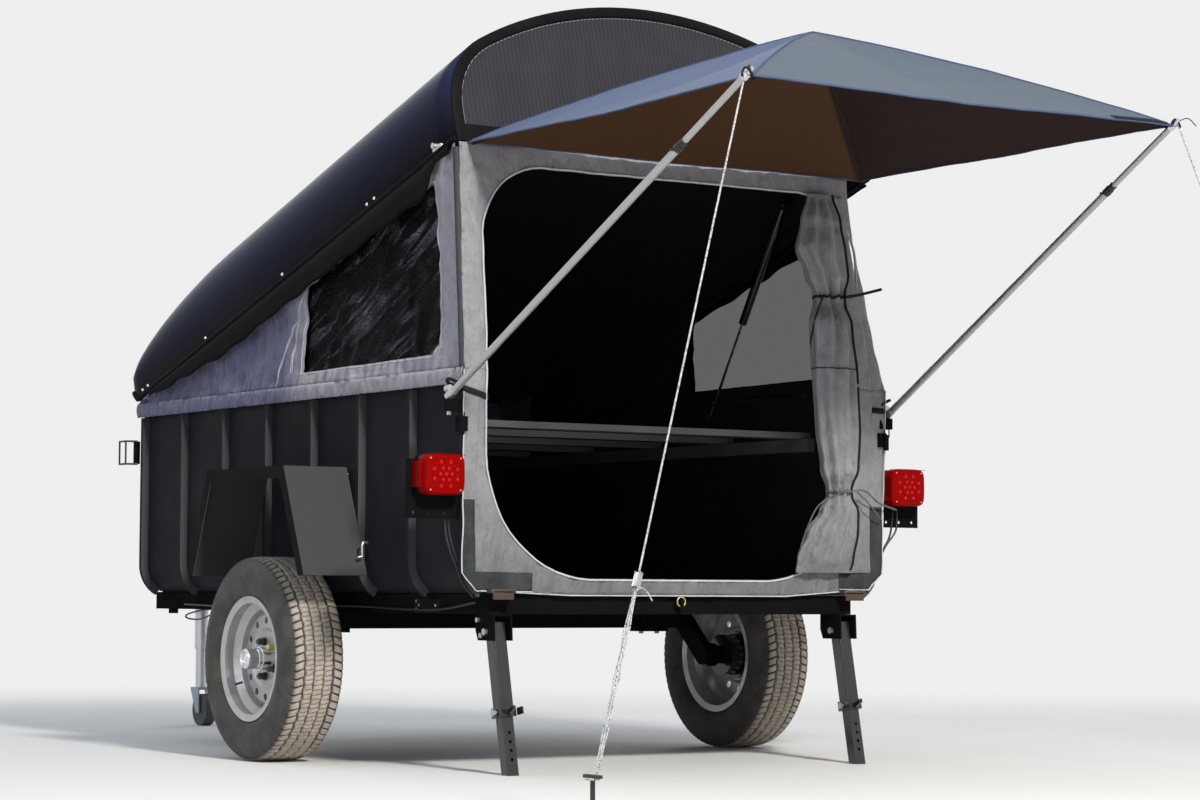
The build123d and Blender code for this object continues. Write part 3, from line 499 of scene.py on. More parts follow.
# Cloths by name, colour and settings, then coated metals by name, colour, roughness, dust and settings
FABRICS = {
    "cloth": ("tent_cloth", (0.235, 0.23, 0.248), {"tone": 0.2, "rough": 0.6, "crumple": 0.95}),
    # Painted shade, tinted blue as by the sky: the front strip in the side cloth's darker front tone
    "cloth_front": ("tent_cloth_front", (0.1, 0.1, 0.16), {"tone": 0.14, "rough": 0.65, "crumple": 0.5}),
    "cloth_side": ("tent_cloth_side", (0.29, 0.285, 0.325), {"tone": 0.2, "rough": 0.65, "crumple": 0.95}),
    "cloth_inner": ("tent_lining", (0.018, 0.018, 0.021), DULL),
    "patch": ("corner_patch", (0.045, 0.05, 0.05), {"tone": 0.35, **DULL}),
    # Black cloth, painted darker still as painted shade under the lid's lip
    "valance": ("valance_cloth", (0.0012, 0.0012, 0.0014), DULL),
    "strap": ("webbing", (0.02, 0.018, 0.02), DULL),
    "zip": ("zip_tape", (0.075, 0.072, 0.08), DULL),
    "awning_top": ("awning_outside", (0.047, 0.071, 0.103), {"sheen": 0.13, **TAUT}),
    # Painted sky reflection: the canopy's slate cloth in blue, on the front and left panels, the binding and the seams
    "awning_side": ("awning_outside_painted_sky", (0.021, 0.053, 0.143), {"sheen": 0.12, **TAUT}),
    "awning_under": ("awning_inside", (0.068, 0.032, 0.015), {"tone": 0.06, **DULL}),
    # Painted shade: the brown underside darker, on the right panel where no light comes through the canopy
    "awning_dark": ("awning_inside_painted_shade", (0.027, 0.014, 0.012), {"tone": 0.06, **DULL}),
    "tie": ("tie_webbing", (0.11, 0.105, 0.115), {"sheen": 0.05}),
    "thread": ("stitching", (0.72, 0.72, 0.76), {"sheen": 0.2}),
    "piping": ("door_piping", (0.55, 0.55, 0.6), {"sheen": 0.2}),
}
COATS = {
    "panel": ("ribbed_panel", (0.04, 0.039, 0.048), 0.5, 0.06, {"Specular_IOR_Level": 0.05}),
    "rubber": ("edge_rubber", (0.008, 0.0085, 0.009), 0.45, 0.03, FLAT),
    "edge": ("pale_edge", (0.24, 0.24, 0.26), 0.4, 0.1, {}),
    "tub": ("tub_satin", (0.021, 0.021, 0.026), 0.42, 0.05, FLAT),
    "ribbed": ("ribbed_satin", (0.019, 0.019, 0.024), 0.42, 0.06, FLAT),
    # Painted shade: the fender's paint is darker than the tub's, for its shaded lip and arch
    "fender": ("fender_satin", (0.01, 0.01, 0.011), 0.46, 0.03, FLAT),
    "steel": ("chassis_black", (0.0055, 0.0055, 0.006), 0.48, 0.015, FLAT),
    "rail": ("rail_black", (0.009, 0.009, 0.0095), 0.5, 0.04, {"Specular_IOR_Level": 0.0}),
    "gloss": ("leg_gloss", (0.009, 0.009, 0.013), 0.2, 0.03, {"Coat_Weight": 0.4, "Coat_Roughness": 0.08}),
    "slat": ("slat_coat", (0.06, 0.06, 0.06), 0.4, 0.2, {}),
    "tab": ("brown_tab", (0.05, 0.028, 0.017), 0.6, 0.2, {}),
    "fork": ("fork_steel", (0.3, 0.36, 0.42), 0.35, 0.2, {"metal": 0.6}),
    "caster": ("caster_tyre", (0.05, 0.052, 0.055), 0.55, 0.3, {}),
    "wire": ("cable_black", (0.012, 0.012, 0.012), 0.35, 0.05, {}),
}


def lid_paint():
    """Gloss with a painted reflection of the sky: its colour grows bluer from the lip up."""
    lid = Paint("lid_gloss", (0.012, 0.017, 0.034), 0.16, **FLAT)
    over_lip = lid.math("ADD", lid.math("MULTIPLY", lid.axis("X"), sin(LID_ANGLE)),
                        lid.math("MULTIPLY", lid.axis("Z"), cos(LID_ANGLE)))
    base = LIP.x * sin(LID_ANGLE) + LIP.z * cos(LID_ANGLE)
    deep = (0.0055, 0.005, 0.007)
    # Painted sky reflection: bluer tints from the lip up the lid
    for low, high, tint in ((0.03, 0.2, (0.018, 0.021, 0.05)), (0.2, 0.5, (0.022, 0.038, 0.094))):
        deep = lid.mixed(lid.span(over_lip, base + low, base + high), deep, tint)
    haze = lid.math("MULTIPLY", lid.ramp(lid.noise(3, 5), 0.5, 0.8), 0.03)
    lid.colour(lid.mixed(haze, deep, (0.1, 0.1, 0.1)))
    lid.roughness(lid.noise(5, 4), 0.12, 0.22)
    lid.bump(lid.noise(1200, 2), 0.02, 0.0005)
    lid.bump(lid.noise(3.5, 2), 0.08, 0.006)
    return lid


def window_paint():
    """Dark netting with painted highlights: pale streaks where the loose mesh would catch the light."""
    mesh = Paint("window_mesh", (0.01, 0.01, 0.012), 0.4, Specular_IOR_Level=0.02, Alpha=0.8)
    slant = mesh.node("Mapping", [("Vector", mesh.place)], vector_type="TEXTURE",
                      Scale=(1.2, 1.0, 0.16), Rotation=(0, radians(27), 0)).outputs[0]
    flow = mesh.node("TexNoise", [("Vector", slant)], Scale=4.5, Detail=6.0, Roughness=0.6, Distortion=0.9)
    patch = mesh.ramp(mesh.noise(5, 4, rough=0.6), 0.4, 0.62)
    fine = mesh.ramp(mesh.noise(70, 3, stretch=(0.5, 1, 2.2)), 0.35, 0.7, (0.25, 0.25, 0.25))
    patchy = mesh.mixed(1.0, patch, fine, "MULTIPLY")
    # Painted highlights: pale streaks on the mesh's outer face
    streak = mesh.mixed(1.0, mesh.ramp(flow.outputs["Fac"], 0.5, 0.78), patchy, "MULTIPLY")
    lit = mesh.mixed(streak, (0.005, 0.005, 0.007), (0.4, 0.39, 0.46))
    behind = mesh.node("NewGeometry").outputs["Backfacing"]
    mesh.colour(mesh.mixed(behind, lit, (0.01, 0.01, 0.01)))
    mesh.bump(mesh.wave(300, "Z"), 0.3, 0.0006)
    return mesh


def tyre_paint():
    """Rubber with dust on its walls and a worn, dusty tread."""
    tyre = Paint("tyre_rubber", (0.022, 0.021, 0.02), 0.72)
    along = tyre.math("POWER", tyre.axis("X"), 2.0)
    height = tyre.math("POWER", tyre.math("SUBTRACT", tyre.axis("Z"), AXLE_Z), 2.0)
    crown = tyre.span(tyre.math("SQRT", tyre.math("ADD", along, height)), 0.311, 0.316)
    worn = tyre.ramp(tyre.noise(35, 6, rough=0.7), 0.2, 0.65, (0.27, 0.22, 0.17), (0.46, 0.41, 0.35))
    dust = tyre.ramp(tyre.noise(12, 6, rough=0.65), 0.4, 0.8, (0.03, 0.03, 0.029), (0.1, 0.09, 0.076))
    tyre.colour(tyre.mixed(crown, dust, worn))
    tyre.bump(tyre.noise(240, 4), 0.25, 0.0012)
    return tyre


def lamp_paints():
    lens = Paint("lamp_red", (0.35, 0.001, 0.001), 0.16, Specular_IOR_Level=0.03)
    facets = lens.math("MULTIPLY", lens.wave(130, "Y"), lens.wave(130, "Z"))
    lens.colour(lens.ramp(facets, 0.1, 0.7, (0.15, 0.0004, 0.0004), (0.42, 0.0016, 0.0012)))
    lens.bump(lens.noise(210, 2), 0.5, 0.002)
    lens.bump(facets, 0.4, 0.0012)
    led = Paint("lamp_element", (0.46, 0.004, 0.003), 0.1, Specular_IOR_Level=0.15)
    led.bump(led.noise(300, 2), 0.2, 0.0005)
    return lens, led


def metal_paints():
    """Bare metals with uneven gloss."""
    made = {}
    for key, name, base, rough, metal, scale, detail, low, high in (
        ("zinc", "zinc_plate", (0.55, 0.56, 0.58), 0.34, 1.0, 40, 4, 0.25, 0.5),
        ("bright", "bright_steel", STEEL, 0.16, 1.0, 60, 3, 0.1, 0.26),
        ("brass", "yellow_zinc", (0.55, 0.5, 0.25), 0.35, 0.9, 80, 3, 0.28, 0.45),
        ("pole", "pole_alloy", (0.5, 0.5, 0.51), 0.34, 0.85, 30, 3, 0.28, 0.44),
        ("rim", "rim_silver", (0.5, 0.5, 0.5), 0.36, 0.55, 18, 3, 0.3, 0.5),
    ):
        made[key] = Paint(name, base, rough, metal)
        made[key].roughness(made[key].noise(scale, detail), low, high)
    zinc, pole, rim = made["zinc"], made["pole"], made["rim"]
    zinc.bump(zinc.noise(400, 3), 0.08, 0.0008)
    pole.colour(pole.mixed(pole.math("MULTIPLY", pole.noise(50, 4), 0.3), (0.5, 0.5, 0.51), (0.3, 0.29, 0.28)))
    soil = rim.math("MULTIPLY", rim.ramp(rim.noise(24, 6), 0.5, 0.8), 0.35)
    rim.colour(rim.mixed(soil, (0.5, 0.5, 0.5), (0.22, 0.17, 0.12)))
    rim.bump(rim.noise(500, 2), 0.05, 0.001)
    hub = made["hub"] = Paint("hub_steel", STEEL, 0.2, 1.0)
    outside = hub.span(hub.math("ABSOLUTE", hub.axis("Y")), TRACK_HALF, TRACK_HALF + 0.003)
    hub.colour(hub.mixed(outside, (0.012, 0.012, 0.012), STEEL))
    hub.link(outside, hub.shader.inputs["Metallic"])
    return made


def make_materials():
    made = {key: fabric(name, base, **own) for key, (name, base, own) in FABRICS.items()}
    rear, side = made["cloth"], made["cloth_side"]
    soiled = rear.mixed(1.0, rear.base(), (0.6, 0.59, 0.57), "MULTIPLY")
    rear.colour(rear.mixed(rear.span(rear.axis("Z"), 0.56, 0.86), soiled, rear.base()))
    # Painted shade, tinted blue as by the sky: the side cloth grows darker and bluer towards the front
    shaded_front = side.mixed(1.0, side.base(), (0.27, 0.27, 0.5), "MULTIPLY")
    side.colour(side.mixed(side.span(side.axis("X"), 0.06, 0.2), side.base(), shaded_front))
    for key, (name, base, rough, amount, own) in COATS.items():
        made[key] = dusty_paint(name, base, rough, amount, **own)
    # Painted light: the rib flanks, which look forward or back, in a lighter tint
    made["ribbed"].paint_light_on_ends((0.085, 0.085, 0.09), 0.15, 0.7, 0.8)
    # Painted light: the fender's faces that look forward or back in a lighter tint
    made["fender"].paint_light_on_ends((0.06, 0.06, 0.064), 0.5, 0.8)
    made.update(metal_paints(), lid=lid_paint(), mesh=window_paint(), tyre=tyre_paint())
    made["mesh_inner"] = Paint("window_mesh_inner", (0.012, 0.011, 0.011), 0.6, Specular_IOR_Level=0.1, Alpha=0.3)
    made["lens"], made["led"] = lamp_paints()
    rope = made["rope"] = Paint("guy_rope", (0.66, 0.66, 0.66), 0.75, Sheen_Weight=0.2)
    rope.colour(rope.ramp(rope.noise(260, 1), 0.5, 0.62, (0.5, 0.5, 0.49), (0.12, 0.12, 0.12)))
    return {key: paint.material for key, paint in made.items()}


PAINT = make_materials()

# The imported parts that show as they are, by paint
NODE_PAINT = {
    "tub": "tub_floor tub_front",
    "ribbed": "tub_sides",
    "fender": "fenders",
    "steel": "axle_beam axle_arms chassis_brackets cross_members rear_beam drawbar lamp_brackets rear_posts "
             "lamp_housings latches pole_clamps",
    "rail": "side_rails",
    "zinc": "coupler jack_tube jack_inner hinge_lower_leaves hinge_upper_leaves",
    "fork": "jack_fork",
    "wire": "pegs",
    "gloss": "leg_outer_left leg_outer_right leg_inner_left leg_inner_right strut_cylinder_left "
             "strut_cylinder_right",
    "hub": "hub_left hub_right",
    "bright": "strut_rod_left strut_rod_right strut_lower_pins strut_upper_pins",
    "rim": "rim_left rim_right",
    "lens": "rear_lamps",
    "slat": "bed_bearers bed_slats",
    "pole": "awning_poles awning_bows",
    "caster": "jack_wheel",
    "tyre": "tyre_left tyre_right",
    "lid": "lid_shell",
    "panel": "lid_end_panel",
    "cloth": "rear_cloth_lower rear_cloth_upper door_roll_lower door_roll_upper rim_hem",
    "cloth_side": "side_cloths",
    "awning_top": "awning_cloth",
    "rope": "guy_ropes",
}
for key, nodes in NODE_PAINT.items():
    for node in nodes.split():
        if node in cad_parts:
            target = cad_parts[node]
            target.data.materials.clear()
            target.data.materials.append(PAINT[key])


# Lid: skin, rolled lip, ribbed end panel, trim, valance and rivets

def lid_point(s, y, h):
    """Point at distance s back along the lip, across y, and h above the lip."""
    return LIP + ALONG_LIP * s + UP_LIP * h + Vector((0, y, 0))


def nose_size(s):
    """Base height, half width, side height and crown height at s along the lip."""
    rise = max(0.0, 1 - (max(0.0, NOSE_END - s) / (NOSE_END - NOSE_START)) ** BLUNT) ** (1 / BLUNT)
    spread = sqrt(max(0.0, 1 - (max(0.0, NOSE_TURN - s) / (NOSE_TURN - NOSE_START)) ** 2))
    base = 0.04 * min(1.0, max(0.0, -s / 0.04))
    crown = NOSE_TOP + (CROWN - NOSE_TOP) * rise
    return (base, LID_HALF - 0.02 * (1 - spread), SIDE_HEIGHT - 0.016 * (1 - rise), crown)


def lid_arch(s, inset=0.0):
    """The lid's section at s from its left lip over the crown to its right lip, as points (y, h)."""
    base, half, side, crown = nose_size(s)
    w, c = half - inset, crown - inset
    shoulder = (w * 0.826, side + (c - side) * 0.577)
    wall = [(w, base + (side - base) * k / 5) for k in range(5)]
    haunch = arc_points((w, side), (w * 0.953, side + (c - side) * 0.3335), shoulder, 9)
    roof = arc_points(shoulder, (0, c), (-shoulder[0], shoulder[1]), 30)[:16]
    left = wall + haunch[:-1] + roof
    return left + [(-y, h) for y, h in left[-2::-1]]


def build_lid():
    stations = [NOSE_END - (NOSE_END - NOSE_START) * cos(pi / 2 * k / 40) for k in range(40)]
    stations += [NOSE_END + (LID_LENGTH - NOSE_END) * k / 16 for k in range(17)]
    arches = [lid_arch(s) for s in stations]
    points = [lid_point(s, y, h) for s, arch in zip(stations, arches) for y, h in arch]
    columns = len(arches[0])
    faces = grid_faces(len(arches), columns) + [tuple(range(columns))]
    skin = facing(mesh_of("lid_skin", points, faces, sharp=60), UP_LIP)
    obj = piece("lid_skin", thickened(skin, LID_WALL, lined=True), "lid cloth_inner", "lid")
    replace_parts(obj, "lid_shell")

    lip = [(s, nose_size(s)[1] + 0.002, 0.009) for s in stations[::-1] if s > 0.02]
    lip += [(s, nose_size(s)[1] + 0.002, nose_size(s)[0] + 0.009) for s in (0.0, -0.012, -0.025, -0.037, -0.046)]
    path = [lid_point(s, y, h) for s, y, h in lip] + [lid_point(s, -y, h) for s, y, h in lip[::-1]]
    piece("lid_lip", tube(path, 0.0085, 10), "rubber", "lid")

    rivets = [(lid_point(s, sign * (nose_size(s)[1] + 0.0015), 0.029), (0, sign, 0), 0.0065, 0.004, 14, 0.003)
              for s in (0.045, 0.09, 0.567, 1.153, 1.742, 1.79) for sign in (1, -1)]
    piece("lid_rivets", parts(discs=rivets), "bright", "lid")
    work = bmesh.new()
    for sign in (1, -1):
        block(work, lid_point(2.2, sign * (LID_HALF + 0.004), 0.02), (0.05, 0.008, 0.022), 0.002)
        disc(work, lid_point(2.19, sign * (LID_HALF + 0.01), 0.03), (0, sign, 0), 0.009, 0.012, 16)
    piece("lid_fittings", work, "zinc", "lid")


def build_end_panel():
    """The lid's rear end: trim round the arch, a pale edge, ribs and a band below."""
    s = LID_LENGTH - 0.0015
    margin, band, pitch, rows = 0.038, 0.05, 0.0145, 4
    arch = lid_arch(LID_LENGTH, 0.001)
    profile = ((0.0, 0.0), (0.02, 0.007), (0.3, 0.011), (0.8, 0.011), (0.97, 0.006), (1.0, -0.001))
    points = [lid_point(s + out, y0 + (y1 - y0) * share, h0 + (h1 - h0) * share)
              for (y0, h0), (y1, h1) in zip(arch, lid_arch(LID_LENGTH, margin)) for share, out in profile]
    trim = mesh_of("end_trim", points, grid_faces(len(arch), len(profile)), sharp=60)
    piece("end_trim", facing(trim, ALONG_LIP), "rubber", "lid")
    edge = [lid_point(s + 0.002, y, h) for y, h in lid_arch(LID_LENGTH, margin + 0.001)]
    piece("end_edge", tube(edge, 0.0017, 6), "edge", "lid")

    crest = [p for p in lid_arch(LID_LENGTH, margin - 0.006) if p[1] > band]
    half = crest[0][0]
    count = int(2 * half / pitch) * 4
    points = []
    for j in range(count + 1):
        y = -half + 2 * half * j / count
        top = band
        for (ya, ha), (yb, hb) in zip(crest, crest[1:]):
            if min(ya, yb) <= y <= max(ya, yb) and abs(ya - yb) > 1e-9:
                top = max(top, ha + (hb - ha) * (y - ya) / (yb - ya))
        depth = (0.0042, 0.0042, 0.0, 0.0)[j % 4]
        points += [lid_point(s + depth, y, band + (top - band) * i / (rows - 1)) for i in range(rows)]
    ribs = mesh_of("end_ribs", points, grid_faces(count + 1, rows), sharp=40)
    piece("end_ribs", facing(ribs, ALONG_LIP), "panel", "lid")
    turn = ALONG_LIP.to_track_quat("X", "Z").to_matrix()
    bar = (lid_point(s + 0.004, 0, band / 2 + 0.002), (0.01, 2 * LID_HALF - 0.03, band), 0.003, turn)
    piece("end_band", parts([bar]), "rubber", "lid")


def build_valance():
    columns, rows = 150, 7
    for side, sign in SIDES:
        points = []
        for j in range(columns):
            s = 0.12 + 2.15 * j / (columns - 1)
            deep = 0.03 + 0.06 * min(1.0, (s - 0.12) / 0.6) + 0.012 * max(0.0, s - 1.2)
            deep += 0.006 * ripple(s * 9, sign, 0) + 0.004 * sin(s * 31)
            deep *= 1 - (0.7 * smooth(2.1, 2.19, s) if sign > 0 else smooth(1.85, 2.15, s))
            deep = max(0.008, deep)
            for i in range(rows):
                v = i / (rows - 1)
                wave = 0.011 * smooth(0, 0.33, v) + 0.004 * v * ripple(s * 14, 3.0 * sign, v)
                points.append(lid_point(s, sign * (nose_size(s)[1] + 0.0035 + wave), 0.004 - deep * v))
        mesh = mesh_of("valance", points, grid_faces(columns, rows))
        mesh = thickened(facing(mesh, Vector((0, sign, 0))), 0.0015)
        obj = piece("valance_" + side, mesh, "valance", "lid")


# Tent walls

def lip_height(x):
    """Height of the open lid's lip over a place on the tub's rim."""
    return LIP.z + (LIP.x - x) * tan(LID_ANGLE)


def side_pull(x, z, sign):
    """How far the side cloth is drawn in towards the middle of the tent."""
    share = min(1.0, max(0.0, (z - TENT_FLOOR) / max(0.02, lip_height(x) - TENT_FLOOR)))
    belly = 0.014 * sin(pi * share)
    if sign < 0:
        belly += 0.1 * smooth(-0.35, -0.95, x) * smooth(0.0, 0.75, share)
    return belly


def side_wave(x, z, sign):
    """Folds and creases of the side cloth, gathered at the hem and tucked at the lip."""
    folds = 0.012 * ripple(x * 5 + z * 4, sign * 2.0, z * 11 - x * 3)
    crease = 0.011 * (0.5 - abs(ripple(x * 7 + z * 9, sign * 7.0, z * 12 - x * 4)))
    crease += 0.007 * (0.5 - abs(ripple(x * 19 - z * 5, sign * 4.0, z * 15 + x * 6)))
    small = 0.003 * ripple(x * 24, sign * 5.0, z * 31)
    gather = 0.0042 * exp(-max(0.0, z - 1.19) / 0.07) * sin(x * 118 + 3.5 * ripple(x * 6, 0, 1))
    tuck = 0.004 * exp(-max(0.0, lip_height(x) - z) / 0.1) * sin(x * 83 + 3 * ripple(x * 5, 2, 1))
    return (folds + crease + small + gather + tuck) * smooth(-0.96, -0.9, x)


def side_place(sign, lift=0.0):
    def place(x, z):
        return Vector((x, sign * (0.7612 - side_pull(x, z, sign) + side_wave(x, z, sign) + lift), z))

    return place


def net_place(sign):
    """The window's loose mesh, just inside the side cloth."""
    def place(x, z):
        ridge = abs(ripple(x * 7 + z * 5, sign * 9.0, z * 4 - x * 6))
        fine = abs(ripple(x * 22 + z * 9, sign * 3.0, z * 19))
        return Vector((x, sign * (0.7565 - side_pull(x, z, sign) - 0.014 * ridge - 0.004 * fine), z))

    return place


def hem_place(sign):
    """The gathered hem over the tub's rim."""
    def place(x, z):
        share = (z - HEM_Z) / (RIM_TOP + 0.007 - HEM_Z)
        gather = 0.0016 * sin(x * 142 + 6 * ripple(x * 7, 1, 0)) * sin(pi * share)
        lump = 0.0045 * ripple(x * 24, z * 22, sign)
        return Vector((x, sign * (0.7722 + 0.003 * sin(pi * share) + gather + lump), z))

    return place


# The window's corners, and the lines of stitching in front of it, as x, z
WINDOW = [(0.046, 1.5), (-0.764, 1.744), (-0.798, 1.264), (-0.760, 1.234), (0.067, 1.228)]
STITCHING = (
    [(0.0545, 1.49), (0.11, 1.42), (0.158, 1.355), (0.21, 1.27), (0.252, 1.192)],
    [(0.0615, 1.49), (0.117, 1.42), (0.165, 1.355), (0.217, 1.27), (0.259, 1.192)],
    [(0.096, 1.43), (0.118, 1.36), (0.138, 1.29), (0.15, 1.232)],
    [(0.103, 1.43), (0.125, 1.36), (0.145, 1.29), (0.157, 1.232)],
)


def window_edge(margin):
    """The window's outline, grown by a margin."""
    middle = Vector((sum(p[0] for p in WINDOW) / 5, sum(p[1] for p in WINDOW) / 5))
    return [tuple(Vector(p) + (Vector(p) - middle).normalized() * margin) for p in WINDOW]


def build_side_cloths():
    tip, back = lid_point(0.004, 0, 0.0), lid_point(LID_LENGTH - 0.012, 0, 0.0)
    outline = [(tip.x, TENT_FLOOR), (tip.x, tip.z), (back.x, back.z), (-0.9475, TENT_FLOOR)]
    wide, ring = window_edge(0.014), window_edge(0.012)
    for side, sign in SIDES:
        out = (0, sign, 0)
        obj = cloth("side_cloth_" + side, outline, 0.016, side_place(sign), 0.0016, out, "cloth_side cloth_inner",
                    "tent", (2.17, 0.672), [WINDOW])
        if sign > 0:
            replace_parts(obj, "side_cloths")
        cloth("window_mesh_" + side, wide, 0.011, net_place(sign), 0.0008, out, "mesh mesh_inner",
              "tent", extent(wide)[::-1])
        place, seams = side_place(sign, 0.0022), []
        for run in (*STITCHING, run_points([*ring, ring[0]], 0.03)):
            path = [place(p.x, p.y) for p in smooth_path([(*p, 0) for p in run], 3)]
            seams.append(tube(path, 0.0009, 5))
        piece("side_stitching_" + side, joined(seams), "thread", "tent")


def build_hems():
    outline = [(-0.953, HEM_Z + 0.002), (1.3, HEM_Z), (1.3, RIM_TOP + 0.006), (-0.953, RIM_TOP + 0.007)]
    for side, sign in SIDES:
        obj = cloth("side_hem_" + side, outline, 0.011, hem_place(sign), 0.0018, (0, sign, 0),
                    "cloth_side cloth_side", "trailer", (2.253, 0.049))
        if sign > 0:
            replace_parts(obj, "rim_hem")


def build_front_strip():
    """Cloth between the tub's front rim and the lid's lip, round both front corners."""
    half = [(lid_point(s, 0, 0).x, 0.735) for s in (0.22, 0.17, 0.12, 0.08, 0.05, 0.03)]
    half += [(1.288, 0.72), (1.296, 0.69)] + [(1.297, 0.66 - 0.66 * k / 20) for k in range(1, 21)]
    plan = half + [(x, -y) for x, y in half[-2::-1]]
    rows, points = 4, []
    for x, y in plan:
        lip = lip_height(x) + 0.009
        front = smooth(1.265, 1.296, x)
        high = lip + (1.248 - lip) * front
        for i in range(rows):
            z = RIM_TOP - 0.004 + (high - RIM_TOP + 0.004) * i / (rows - 1)
            bulge = 0.003 * ripple(y * 14, z * 20, 4)
            points.append(Vector((x + front * (0.4 * (z - TENT_FLOOR) + bulge), y, z)))
    mesh = facing(mesh_of("front_strip", points, grid_faces(len(plan), rows)), Vector((1, 0, 0)))
    obj = piece("front_strip", mesh, "cloth_front", "tent")


def rear_x(z):
    """The rear wall leans in towards the lid above the rim."""
    return REAR_X + 0.0742 * max(0.0, z - RIM_TOP)


def rear_wave(y, z):
    """Folds and creases of the rear wall."""
    tall = ripple(y * 17, 4.0, z * 2.6)
    fine = ripple(y * 42 + z * 6, 8.0, z * 9)
    slack = ripple(y * 5, 2.0, z * 3.5)
    crease = abs(ripple(y * 14 - z * 5, 6.0, z * 8 + y * 6))
    fold = abs(ripple(y * 24 + z * 3, 3.0, z * 5 - y * 8))
    return 0.006 * tall + 0.0024 * fine + 0.004 * slack - 0.007 * crease - 0.006 * fold


def rear_place(lift=0.0):
    def place(y, z):
        return Vector((rear_x(z) + rear_wave(y, z) - lift, y, z))

    return place


def door_edge(grown=0.0):
    """The door opening's edge from the rim at the right, down, round and up to the rim at the left."""
    side = DOOR_HALF + grown
    low = arc_points((-side, 0.93), (-0.59 - grown * 0.7, 0.69 - grown * 0.7), (-0.33, 0.572 - grown), 14)
    return low + [(-y, z) for y, z in low[::-1]]


def door_top(grown=0.0):
    """The opening's edge above the rim, from the left over the top to the right."""
    side = DOOR_HALF + grown
    high = arc_points((side, 1.56), (0.63 + grown * 0.7, 1.728 + grown * 0.7), (0.45, 1.795 + grown), 12)
    return high + [(-y, z) for y, z in high[::-1]]


# Corner patches and edge bindings of the rear wall, as y, z
PATCHES = {
    "left": [(0.7755, 0.8), (0.7755, 0.587), (0.726, 0.534), (0.531, 0.532), (0.531, 0.588), (0.728, 0.59),
             (0.73, 0.8)],
    "right": [(-0.778, 0.806), (-0.777, 0.594), (-0.724, 0.543), (-0.606, 0.545), (-0.606, 0.596), (-0.716, 0.6),
              (-0.72, 0.806)],
}
BINDINGS = {
    "left": [(0.7715, RIM_TOP), (0.773, 0.587), (0.727, 0.536), (0.4, 0.522), (0.0, 0.522)],
    "right": [(-0.791, RIM_TOP), (-0.791, 1.0), (-0.776, 0.593), (-0.723, 0.545), (-0.4, 0.522), (0.0, 0.522)],
}


def build_rear_wall():
    both = "cloth cloth_inner"
    lower = [(0.77, RIM_TOP), (0.772, 0.587), (0.726, 0.537), (0.4, 0.523), (-0.4, 0.523), (-0.722, 0.546),
             (-0.775, 0.594), (-0.79, 1.0), (-0.79, RIM_TOP), (-DOOR_HALF, RIM_TOP), *door_edge(),
             (DOOR_HALF, RIM_TOP)]
    obj = cloth("rear_wall_lower", lower, 0.014, rear_place(), 0.0018, REARWARD, both, "trailer",
                (0.2, 2.4))
    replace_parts(obj, "rear_cloth_lower")
    upper = [(0.77, RIM_TOP), (DOOR_HALF, RIM_TOP), *door_top(), (-DOOR_HALF, RIM_TOP), (-0.79, RIM_TOP),
             (-0.758, 1.296), (-0.722, 1.49), (-0.69, 1.635), (-0.675, 1.79), (-0.675, 1.856), (0.764, 1.856)]
    obj = cloth("rear_wall_upper", upper, 0.014, rear_place(), 0.0018, REARWARD, both, "tent",
                (0.2, 2.6))
    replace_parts(obj, "rear_cloth_upper")

    def bound(name, run, step, lift, radius, sides, body="trailer"):
        path = [rear_place(lift)(*p) for p in run_points(run, step)]
        piece(name, tube(path, radius, sides), "piping", body)

    grown = 0.004
    side = DOOR_HALF + grown
    ring = [(-side, RIM_TOP), *door_edge(grown), (side, RIM_TOP)]
    bound("door_piping_lower", ring, 0.03, 0.003, 0.003, 8)
    ring = [(side, RIM_TOP), *door_top(grown), (-side, RIM_TOP)]
    bound("door_piping_upper", ring, 0.03, 0.003, 0.003, 8, "tent")
    for side, outline in PATCHES.items():
        mesh, area = cloth_mesh(outline, [], 0.012, rear_place(0.0032), 0.0016, REARWARD)
        obj = piece("corner_patch_" + side, mesh, "patch patch")
        wide, high = extent(outline)
        max(area, 0.3 * wide * high)
        bound("patch_edge_" + side, outline[:4], 0.02, 0.0055, 0.0016, 6)

    heights, points = steps(RIM_TOP, 1.84, 0.02), []
    for z in heights:
        x = rear_x(z) + 0.003 + 0.0015 * ripple(4, 2, z * 9)
        points += [Vector((x + dx, y, z)) for dx, y in
                   ((0.018, 0.7715), (0.007, 0.774), (-0.002, 0.7725), (-0.0065, 0.766))]
    tape = facing(mesh_of("corner_zip", points, grid_faces(len(heights), 4)), Vector((-1, 1, 0)))
    piece("corner_zip", tape, "zip", "tent")
    for side, run in BINDINGS.items():
        bound("wall_binding_" + side, run, 0.02, 0.0025, 0.002, 6)


# Door flap, rolled to the right and tied: height, left edge, right edge and half depth of its roll

FLAP = (
    (0.596, -0.425, -0.645, 0.016), (0.64, -0.425, -0.645, 0.026), (0.72, -0.455, -0.645, 0.036),
    (0.79, -0.515, -0.64, 0.036), (0.838, -0.548, -0.625, 0.024), (0.862, -0.546, -0.625, 0.024),
    (0.92, -0.515, -0.635, 0.038), (1.05, -0.492, -0.635, 0.045), (1.2, -0.48, -0.632, 0.045),
    (1.376, -0.484, -0.625, 0.042), (1.45, -0.51, -0.613, 0.028), (1.478, -0.51, -0.613, 0.028),
    (1.53, -0.475, -0.615, 0.04), (1.616, -0.436, -0.61, 0.042), (1.7, -0.462, -0.605, 0.034),
    (1.795, -0.505, -0.6, 0.014),
)
FLAP_HEM, TIES = 1.236, (0.85, 1.465)
ROLL_SIDES, TIE_SIDES, SEAM_COLUMN = 72, 40, 29
